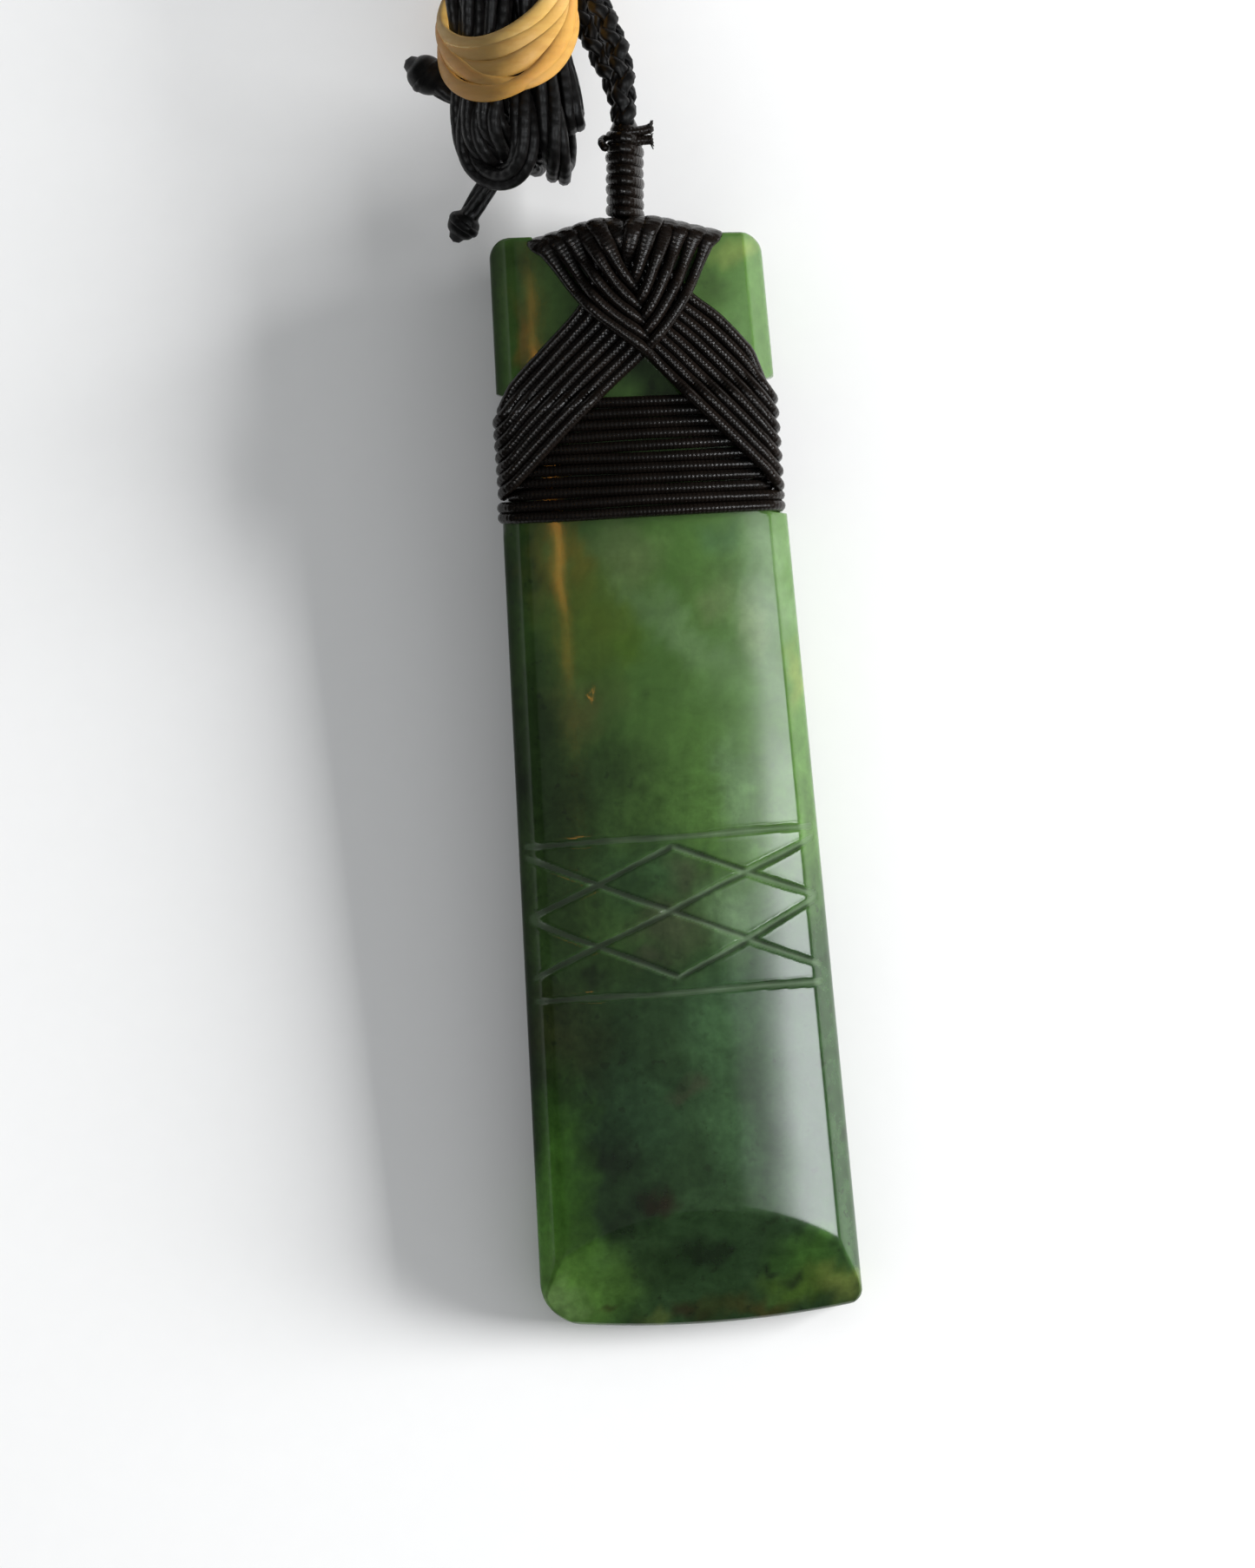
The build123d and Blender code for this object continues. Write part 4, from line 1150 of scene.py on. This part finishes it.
ZONES = [
    dict(tint="grey_olive", u=-1.8, v=57.5, a=2.3, b=2.2, turn=0, much=0.70, soft=0.90),
    # painted reflection: olive glow beside the warm lamp's streak
    dict(tint="olive", u=-5.1, v=57.2, a=1.0, b=2.9, turn=0, much=0.80, soft=0.80),
    dict(tint="yellow_green", u=-4.3, v=52.9, a=2.8, b=3.4, turn=0, much=0.90, soft=0.90),
    dict(tint="yellow_deep", u=-1.8, v=50.9, a=1.3, b=1.3, turn=0, much=0.70, soft=0.90),
    dict(tint="teal", u=5.3, v=58.6, a=1.3, b=1.0, turn=0, much=0.55, soft=0.90),
    dict(tint="moss", u=5.2, v=55.8, a=1.1, b=0.8, turn=0, much=0.70, soft=0.90),
    dict(tint="grey_olive", u=4.6, v=53.9, a=1.5, b=1.4, turn=0, much=0.60, soft=0.90),
    dict(tint="pale_green", u=1.8, v=51.6, a=4.5, b=1.1, turn=-48, much=0.65, soft=0.90),
    dict(tint="fresh", u=4.1, v=47.5, a=2.1, b=1.5, turn=0, much=0.65, soft=0.90),
    # painted highlight and reflection, partly: the window's faint reflection on the right shoulder, and the right
    # facet's lighter strip
    dict(tint="pale_green", u=8.4, v=52.6, a=1.4, b=3.5, turn=0, much=0.80, soft=0.80),
    dict(tint="pinkish", u=7.4, v=51.5, a=0.9, b=2.2, turn=0, much=0.18, soft=0.90),
    dict(tint="pale_green", u=8.6, v=57.5, a=1.5, b=1.9, turn=0, much=0.70, soft=0.90),
    dict(tint="strip_olive", u=10.4, v=47.5, a=0.6, b=2.3, turn=0, much=0.85, soft=0.80),
    dict(tint="brown_olive", u=-5.9, v=46.4, a=2.3, b=1.8, turn=0, much=0.70, soft=0.90),
    dict(tint="moss", u=-2.9, v=46.3, a=1.1, b=1.0, turn=0, much=0.50, soft=0.90),
    dict(tint="deep", u=-9.4, v=46.2, a=1.7, b=5.5, turn=0, much=0.90, soft=0.80),
    dict(tint="night", u=-10.3, v=40.9, a=0.8, b=1.1, turn=0, much=0.90, soft=0.90),
    dict(tint="deep", u=-9.4, v=57.2, a=1.1, b=4.0, turn=0, much=0.80, soft=0.90),
    # painted reflection: olive glow beside the warm lamp's streak
    dict(tint="olive", u=-8.1, v=58.0, a=0.8, b=3.4, turn=0, much=0.45, soft=0.90),
    dict(tint="moss_dark", u=-1.0, v=46.9, a=0.5, b=0.4, turn=0, much=0.80, soft=0.90),
    dict(tint="moss_dark", u=-2.3, v=41.7, a=2.2, b=1.8, turn=0, much=0.60, soft=0.90),
    dict(tint="deep", u=-6.2, v=41.1, a=4.3, b=3.2, turn=0, much=0.75, soft=0.90),
    # painted highlight, partly: the grey-green fringe of the window's reflection
    dict(tint="grey_green", u=5.3, v=39.6, a=1.4, b=2.7, turn=0, much=0.60, soft=0.90),
    dict(tint="deep", u=-8.4, v=35.4, a=3.5, b=6.8, turn=0, much=0.80, soft=0.80),
    dict(tint="mid", u=2.3, v=39.2, a=3.0, b=1.9, turn=0, much=0.60, soft=0.90),
    dict(tint="teal_dark", u=-1.7, v=34.0, a=3.5, b=2.5, turn=0, much=0.75, soft=0.90),
    dict(tint="brown_grey", u=1.1, v=33.5, a=1.4, b=1.3, turn=0, much=0.70, soft=0.90),
    dict(tint="brown_grey", u=-0.4, v=29.9, a=2.1, b=1.7, turn=0, much=0.75, soft=0.90),
    dict(tint="brown_grey", u=-1.9, v=27.5, a=1.2, b=0.6, turn=0, much=0.70, soft=0.90),
    # painted highlight, partly: the grey-green fringe of the window's reflection
    dict(tint="grey_green", u=4.2, v=30.7, a=1.9, b=2.2, turn=0, much=0.60, soft=0.90),
    dict(tint="night", u=-6.3, v=26.7, a=0.6, b=0.5, turn=0, much=0.60, soft=0.90),
    dict(tint="teal", u=2.8, v=23.9, a=2.5, b=2.1, turn=0, much=0.60, soft=0.90),
    dict(tint="olive_dark", u=-10.1, v=23.6, a=1.3, b=2.6, turn=0, much=0.70, soft=0.90),
    dict(tint="olive_dark", u=-8.6, v=22.2, a=2.7, b=3.1, turn=0, much=0.60, soft=0.90),
    dict(tint="teal_dark", u=-3.9, v=16.0, a=3.5, b=3.0, turn=0, much=0.80, soft=0.90),
    dict(tint="teal", u=2.1, v=19.6, a=1.8, b=3.5, turn=0, much=0.60, soft=0.90),
    dict(tint="teal", u=3.3, v=14.2, a=1.8, b=2.9, turn=0, much=0.75, soft=0.90),
    dict(tint="brown_grey", u=0.1, v=17.8, a=1.2, b=0.6, turn=0, much=0.70, soft=0.90),
    dict(tint="night", u=-6.1, v=13.0, a=1.5, b=1.2, turn=0, much=0.75, soft=0.90),
    dict(tint="night", u=-3.6, v=10.0, a=1.3, b=1.0, turn=20, much=0.62, soft=0.90),
    dict(tint="umber", u=-2.7, v=9.6, a=0.8, b=0.8, turn=0, much=0.80, soft=0.90),
    dict(tint="night", u=-5.4, v=8.0, a=1.4, b=1.0, turn=0, much=0.55, soft=0.90),
    dict(tint="night", u=0.2, v=5.8, a=1.4, b=1.0, turn=0, much=0.75, soft=0.90),
    dict(tint="night", u=2.1, v=5.7, a=0.6, b=0.5, turn=0, much=0.80, soft=0.90),
    dict(tint="deep", u=-4.8, v=4.7, a=2.7, b=2.1, turn=0, much=0.60, soft=0.90),
    dict(tint="leaf", u=-10.1, v=10.5, a=2.3, b=7.6, turn=-4, much=0.90, soft=0.60),
    dict(tint="leaf_light", u=-9.2, v=3.2, a=3.3, b=3.4, turn=0, much=0.90, soft=0.80),
    dict(tint="leaf_pale", u=-10.5, v=2.3, a=1.7, b=1.2, turn=0, much=0.70, soft=0.80),
    dict(tint="leaf", u=8.1, v=5.0, a=2.1, b=1.6, turn=0, much=0.62, soft=0.90),
    dict(tint="yellow_deep", u=7.6, v=2.4, a=2.6, b=1.3, turn=12, much=0.75, soft=0.90),
    dict(tint="yellow_olive", u=10.0, v=2.4, a=1.5, b=1.1, turn=0, much=0.62, soft=0.90),
    dict(tint="rust", u=4.3, v=0.9, a=2.3, b=0.6, turn=0, much=0.70, soft=0.90),
    dict(tint="olive_dark", u=0.9, v=1.4, a=1.9, b=0.8, turn=0, much=0.70, soft=0.80),
    dict(tint="umber", u=-0.8, v=1.2, a=1.0, b=0.8, turn=0, much=0.70, soft=0.80),
    dict(tint="yellow_olive", u=-3.4, v=0.8, a=1.1, b=0.6, turn=0, much=0.30, soft=0.90),
    dict(tint="night", u=5.8, v=3.9, a=0.5, b=0.4, turn=0, much=0.75, soft=0.90),
    dict(tint="night", u=7.1, v=3.2, a=0.5, b=0.4, turn=0, much=0.75, soft=0.90),
    dict(tint="olive_dark", u=-7.1, v=1.7, a=0.6, b=0.3, turn=0, much=0.80, soft=0.90),
    dict(tint="night", u=11.2, v=14.0, a=0.3, b=0.7, turn=0, much=0.70, soft=0.90),
    dict(tint="moss", u=-8.7, v=77.5, a=1.7, b=3.4, turn=0, much=0.70, soft=0.90),
    # painted reflection: the warm lamp's streak where it shows above the band
    dict(tint="warm_lamp_reflection", u=-8.0, v=74.0, a=0.6, b=2.2, turn=0, much=0.70, soft=0.90),
    dict(tint="fresh", u=8.0, v=73.9, a=1.3, b=2.3, turn=20, much=0.75, soft=0.90),
    dict(tint="strip_olive", u=8.1, v=79.6, a=1.7, b=0.8, turn=0, much=0.80, soft=0.80),
    dict(tint="deep", u=0.3, v=70.6, a=2.2, b=1.7, turn=0, much=0.80, soft=0.80),
    dict(tint="moss_dark", u=6.2, v=77.0, a=1.2, b=1.4, turn=0, much=0.75, soft=0.90),
    dict(tint="moss_dark", u=-8.2, v=79.8, a=1.6, b=0.9, turn=0, much=0.70, soft=0.90),
]


def wander(u, v, seed, big, amount):
    """A gentle bending of the chart, so that no zone has a drawn outline."""
    rng = np.random.default_rng(seed)
    out = np.zeros_like(u)
    for i in range(7):
        a, ph = rng.uniform(0, 2 * math.pi), rng.uniform(0, 2 * math.pi)
        wave = big * 0.72**i
        out += amount * 0.80**i * np.sin(2 * math.pi * (u * math.cos(a) + v * math.sin(a)) / wave + ph)
    return out


def stone_tints(u, v):
    tints = {r["tint"]: np.array([r["r"], r["g"], r["b"]]) for r in PALETTE}
    wu, wv = u + wander(u, v, 3, 6.5, 0.30), v + wander(u, v, 4, 6.5, 0.30)
    low = soft_step((36.0 - wv + 0.25 * wu) / 12.0)[:, None]
    col = tints["mid"] * (1 - low) + (0.45 * tints["teal_dark"] + 0.55 * tints["deep"]) * low
    for z in ZONES:
        c, n = math.cos(math.radians(z["turn"])), math.sin(math.radians(z["turn"]))
        du, dv = wu - z["u"], wv - z["v"]
        x, y = (du * c + dv * n) / z["a"], (-du * n + dv * c) / z["b"]
        r = np.sqrt(x * x + y * y)
        m = (z["much"] * (1 - soft_step((r - (1 - z["soft"])) / (2 * z["soft"]))))[:, None]
        col = col * (1 - m) + tints[z["tint"]] * m
    # painted shade: the left facet, which turns away from the light, is darkened in its colour, but for the leaf green
    # at the blade
    edge = half_w(v) + u
    away = (1 - soft_step(edge / 1.6)) * soft_step((v - 9.0) / 6.0)
    return col * (1 - 0.72 * away)[:, None]


def groove_depth(u, v):
    """How deep the cut lattice goes at each point, and how much of it is on the cut's lower wall."""
    cut, rim, lower = np.zeros_like(u), np.zeros_like(u), np.zeros_like(u)
    for i, g in enumerate(GROOVES):
        du, dv = g["u1"] - g["u0"], g["v1"] - g["v0"]
        length = math.hypot(du, dv)
        au, av = du / length, dv / length
        s = (u - g["u0"]) * au + (v - g["v0"]) * av
        d = -(u - g["u0"]) * av + (v - g["v0"]) * au + 0.04 * np.sin(0.55 * s + i)
        wide = GROOVE_HALF * (1 + 0.10 * np.sin(0.8 * s + 2.0 * i))
        ends = soft_step((s + 0.35) / 0.7) * soft_step((length - s + 0.35) / 0.7) * (1 - soft_step((np.abs(u) - 10.35) / 0.5))
        x = np.clip(np.abs(d) / wide, 0, 1)
        here = g["deep"] * ends * (1 - x**2.2) * (1 + 0.12 * np.sin(1.9 * s + i))
        deeper = here > cut
        cut = np.where(deeper, here, cut)
        lower = np.where(deeper, np.clip(-d / wide, 0, 1), lower)
        rim = np.maximum(rim, 0.018 * ends * np.exp(-(((np.abs(d) - wide * 1.12) / 0.12) ** 2)))
    return cut, rim * (cut < 0.02), lower


def stone_material():
    m, nt, bsdf = new_material("greenstone")
    here = place(nt)
    cloud = noise(nt, here, 0.32, 5.0, 0.6, 0.6)
    fine = noise(nt, here, 1.5, 6.0, 0.62, 0.3)
    streak = noise(nt, place(nt, (0.9, 0.16, 0.3), (0, 0, 40)), 1.0, 4.0, 0.55, 0.4)
    tint = nt.nodes.new("ShaderNodeAttribute")
    tint.attribute_name = "tint"
    col = tint.outputs["Color"]
    # cloudy depth and faint veins over the charted tints
    shade = maths(nt, "MULTIPLY", span(nt, cloud, 0.3, 0.7, 0.72, 1.30), span(nt, streak, 0.3, 0.7, 0.90, 1.12))
    shade = maths(nt, "MULTIPLY", shade, span(nt, fine, 0.3, 0.7, 0.82, 1.16))
    shade = maths(nt, "ADD", maths(nt, "MULTIPLY", maths(nt, "SUBTRACT", shade, 1.0), attribute(nt, "mottle")), 1.0)
    grey = nt.nodes.new("ShaderNodeCombineColor")
    for k in range(3):
        nt.links.new(shade, grey.inputs[k])
    col = mixed(nt, 1.0, col, grey.outputs[0], "MULTIPLY")
    fleck = ramp(nt, noise(nt, here, 1.15, 3.0, 0.5), [(0.62, 0.0), (0.70, 1.0)])
    col = mixed(nt, maths(nt, "MULTIPLY", maths(nt, "MULTIPLY", fleck, attribute(nt, "speck")), 0.6), col, (0.012, 0.020, 0.009))
    # the cut lattice is ground, not polished, and so paler; its lower wall gets painted shade
    ground_mask, fall = attribute(nt, "ground"), attribute(nt, "fall")
    pale = mixed(nt, 0.52, col, (0.105, 0.155, 0.090))
    col = mixed(nt, maths(nt, "MULTIPLY", ground_mask, 0.85), col, pale)
    # painted shade on the lower wall of the cuts
    col = mixed(nt, maths(nt, "MULTIPLY", fall, 0.22), col, (0.018, 0.040, 0.014))
    nt.links.new(col, bsdf.inputs["Base Color"])
    polish = maths(nt, "ADD", span(nt, fine, 0.3, 0.7, 0.10, 0.125), attribute(nt, "satin"))
    nt.links.new(maths(nt, "ADD", polish, maths(nt, "MULTIPLY", ground_mask, 0.36)), bsdf.inputs["Roughness"])
    nt.links.new(attribute(nt, "sheen"), bsdf.inputs["Specular IOR Level"])
    bsdf.inputs["IOR"].default_value = 1.61
    bsdf.inputs["Subsurface Weight"].default_value = 0.15
    bsdf.inputs["Subsurface Radius"].default_value = (0.6, 1.0, 0.35)
    bsdf.inputs["Subsurface Scale"].default_value = 0.0009
    bump(nt, bsdf, fine, 0.003 * MM, 0.5)
    return m


blade = make_stone(stone_material())

# ---- floor and light -------------------------------------------------------------------
floor_mat, nt, bsdf = new_material("pale_floor")
grain = noise(nt, place(nt), 0.5, 3.0, 0.5)
nt.links.new(mixed(nt, grain, (0.86, 0.86, 0.86), (0.88, 0.88, 0.88)), bsdf.inputs["Base Color"])
bsdf.inputs["Roughness"].default_value = 0.9
bsdf.inputs["Specular IOR Level"].default_value = 0.1
fm = bpy.data.meshes.new("floor")
fm.from_pydata([(-3, -3, 0), (3, -3, 0), (3, 3, 0), (-3, 3, 0)], [], [(0, 1, 2, 3)])
fm.materials.append(floor_mat)
floor = bpy.data.objects.new("floor", fm)
bpy.context.scene.collection.objects.link(floor)
floor.location.z = -0.00002

# a low, broad window far to the right: it lights the floor and draws the long soft shadow
LOW_LIGHT = dict(x=980, y=70, z=265, wide=560, tall=270, bright=64.0)
# what the polished stone mirrors, charted by where it shows on the stone: sides across and along
REFLECTIONS = [
    dict(name="window_core", u0=7.5, u1=11.5, v0=-10, v1=47, r=0.93, g=0.97, b=1.0, bright=9.6),
    dict(name="window_core_high", u0=7.6, u1=11.5, v0=47, v1=59, r=0.93, g=0.97, b=1.0, bright=2.4),
    dict(name="window_edge", u0=6.2, u1=7.5, v0=-10, v1=40, r=0.92, g=0.97, b=1.0, bright=3.6),
    dict(name="window_fringe", u0=4.0, u1=6.2, v0=-10, v1=36, r=0.90, g=0.97, b=1.0, bright=1.1),
]
# and a warm lamp's narrow streak, from its lower to its upper end
STREAK = dict(u0=-6.25, v0=54.5, u1=-7.35, v1=74.5, wide=4.0, r=1.0, g=0.38, b=0.05, bright=21.0)
REACH = 450.0


def add_lamp(name, at, z, x, wide, tall, colour, bright, diffuse, glossy):
    """A lamp at a place in metres, facing away from z, its width lying along x."""
    data = bpy.data.lights.new(name, "AREA")
    data.shape = "RECTANGLE"
    data.size, data.size_y = wide * MM, tall * MM
    data.color = colour
    data.energy = bright * math.pi * data.size * data.size_y
    o = bpy.data.objects.new(name, data)
    bpy.context.scene.collection.objects.link(o)
    o.location = at
    z = Vector(z).normalized()
    x = Vector(x) - z * Vector(x).dot(z)
    x.normalize()
    o.rotation_euler = Matrix((x, z.cross(x), z)).transposed().to_euler()
    o.visible_diffuse = diffuse
    o.visible_glossy = glossy
    return o


def mirrored(u, v):
    """Where a lamp has to be, in metres, to show in the crown at a place of the stone."""
    phi = 2 * math.asin(u / CROWN_R) + (u - VIEW_U) / (VIEW_HIGH / MM)
    y = v + REACH * ((v - VIEW_V) / (VIEW_HIGH / MM) - 2 * math.sin(LEAN))
    return Vector(((u + REACH * math.sin(phi)) * MM, (y + SHIFT[1]) * MM, (6 + REACH * math.cos(phi)) * MM))


stone_mid = Vector((0, 0, 0.006))
at = Vector((LOW_LIGHT["x"] * MM, LOW_LIGHT["y"] * MM, LOW_LIGHT["z"] * MM))
low_lamps = [
    add_lamp("low_window", at, at, (0, 1, 0), LOW_LIGHT["wide"], LOW_LIGHT["tall"], (1.0, 1.0, 1.0), LOW_LIGHT["bright"] * share, True, False)
    for share in (0.42, 0.58)
]
for r in REFLECTIONS:
    a, b = mirrored((r["u0"]), (r["v0"] + r["v1"]) / 2), mirrored(r["u1"], (r["v0"] + r["v1"]) / 2)
    low, high = mirrored(r["u0"], r["v0"]), mirrored(r["u0"], r["v1"])
    mid = (a + b) / 2
    aim = Vector(((r["u0"] + r["u1"]) / 2 * MM, mid.y, 0.006))
    add_lamp(r["name"], mid, mid - aim, b - a, (b - a).length / MM, (high - low).length / MM,
             (r["r"], r["g"], r["b"]), r["bright"], False, True)
low, high = mirrored(STREAK["u0"], STREAK["v0"]), mirrored(STREAK["u1"], STREAK["v1"])
mid = (low + high) / 2
warm = add_lamp("warm_streak", mid, mid - Vector((-0.0073, mid.y, 0.006)), high - low, (high - low).length / MM, STREAK["wide"],
         (STREAK["r"], STREAK["g"], STREAK["b"]), STREAK["bright"], False, True)
only_stone = bpy.data.collections.new("warm_on_the_stone")
for o in (blade, band, cross):
    only_stone.objects.link(o)
warm.light_linking.receiver_collection = only_stone
# a small high window that only the waxed thread catches
glint_from = Vector((-0.006, 0.0274, 0.006))
glint_way = Vector((-0.25, -0.16, 0.95)).normalized()
glint = add_lamp("thread_glint", glint_from + glint_way * REACH * MM, glint_way, (0.74, 0.68, 0), 70, 60, (0.97, 0.98, 1.0), 27.0, False, True)
waxed = bpy.data.collections.new("waxed_thread_only")
for o in (cross, neck, cord_a, cord_b):
    waxed.objects.link(o)
glint.light_linking.receiver_collection = waxed
end_from = Vector((0.0085, 0.0215, 0.006))
end_way = Vector((0.50, -0.10, 0.86)).normalized()
end_glint = add_lamp("right_end_glint", end_from + end_way * REACH * MM, end_way, (0, 1, 0), 80, 60, (0.97, 0.98, 1.0), 20.0, False, True)
lashed_ends = bpy.data.collections.new("lashed_ends")
for o in (band, cross):
    lashed_ends.objects.link(o)
end_glint.light_linking.receiver_collection = lashed_ends
# the dim ceiling
add_lamp("ceiling", (0.05, 0.0, 0.9), (0, 0, 1), (1, 0, 0), 1500, 1500, (0.95, 1.0, 1.0), 0.10, False, True)
# the hank's shadow is thinner than the stone's: part of the window's light goes round it
blockers = bpy.data.collections.new("shadow_of_the_stone")
for o in (band, cross, neck, blade):
    blockers.objects.link(o)
low_lamps[1].light_linking.blocker_collection = blockers

# the room: dim overhead, where the stone mirrors it, and pale all round
world = bpy.data.worlds.new("room")
bpy.context.scene.world = world
world.use_nodes = True
wt = world.node_tree
back = wt.nodes["Background"]
tc = wt.nodes.new("ShaderNodeTexCoord")
sep = wt.nodes.new("ShaderNodeSeparateXYZ")
wt.links.new(tc.outputs["Generated"], sep.inputs[0])
level = ramp(wt, sep.outputs[2], [(0.0, 0.85), (0.60, 0.85), (0.80, 0.13), (1.0, 0.10)])
wt.links.new(level, back.inputs["Strength"])
back.inputs["Color"].default_value = (0.97, 0.99, 1.0, 1)
world.cycles_visibility.glossy = False
bpy.context.scene.view_settings.view_transform = "Standard"
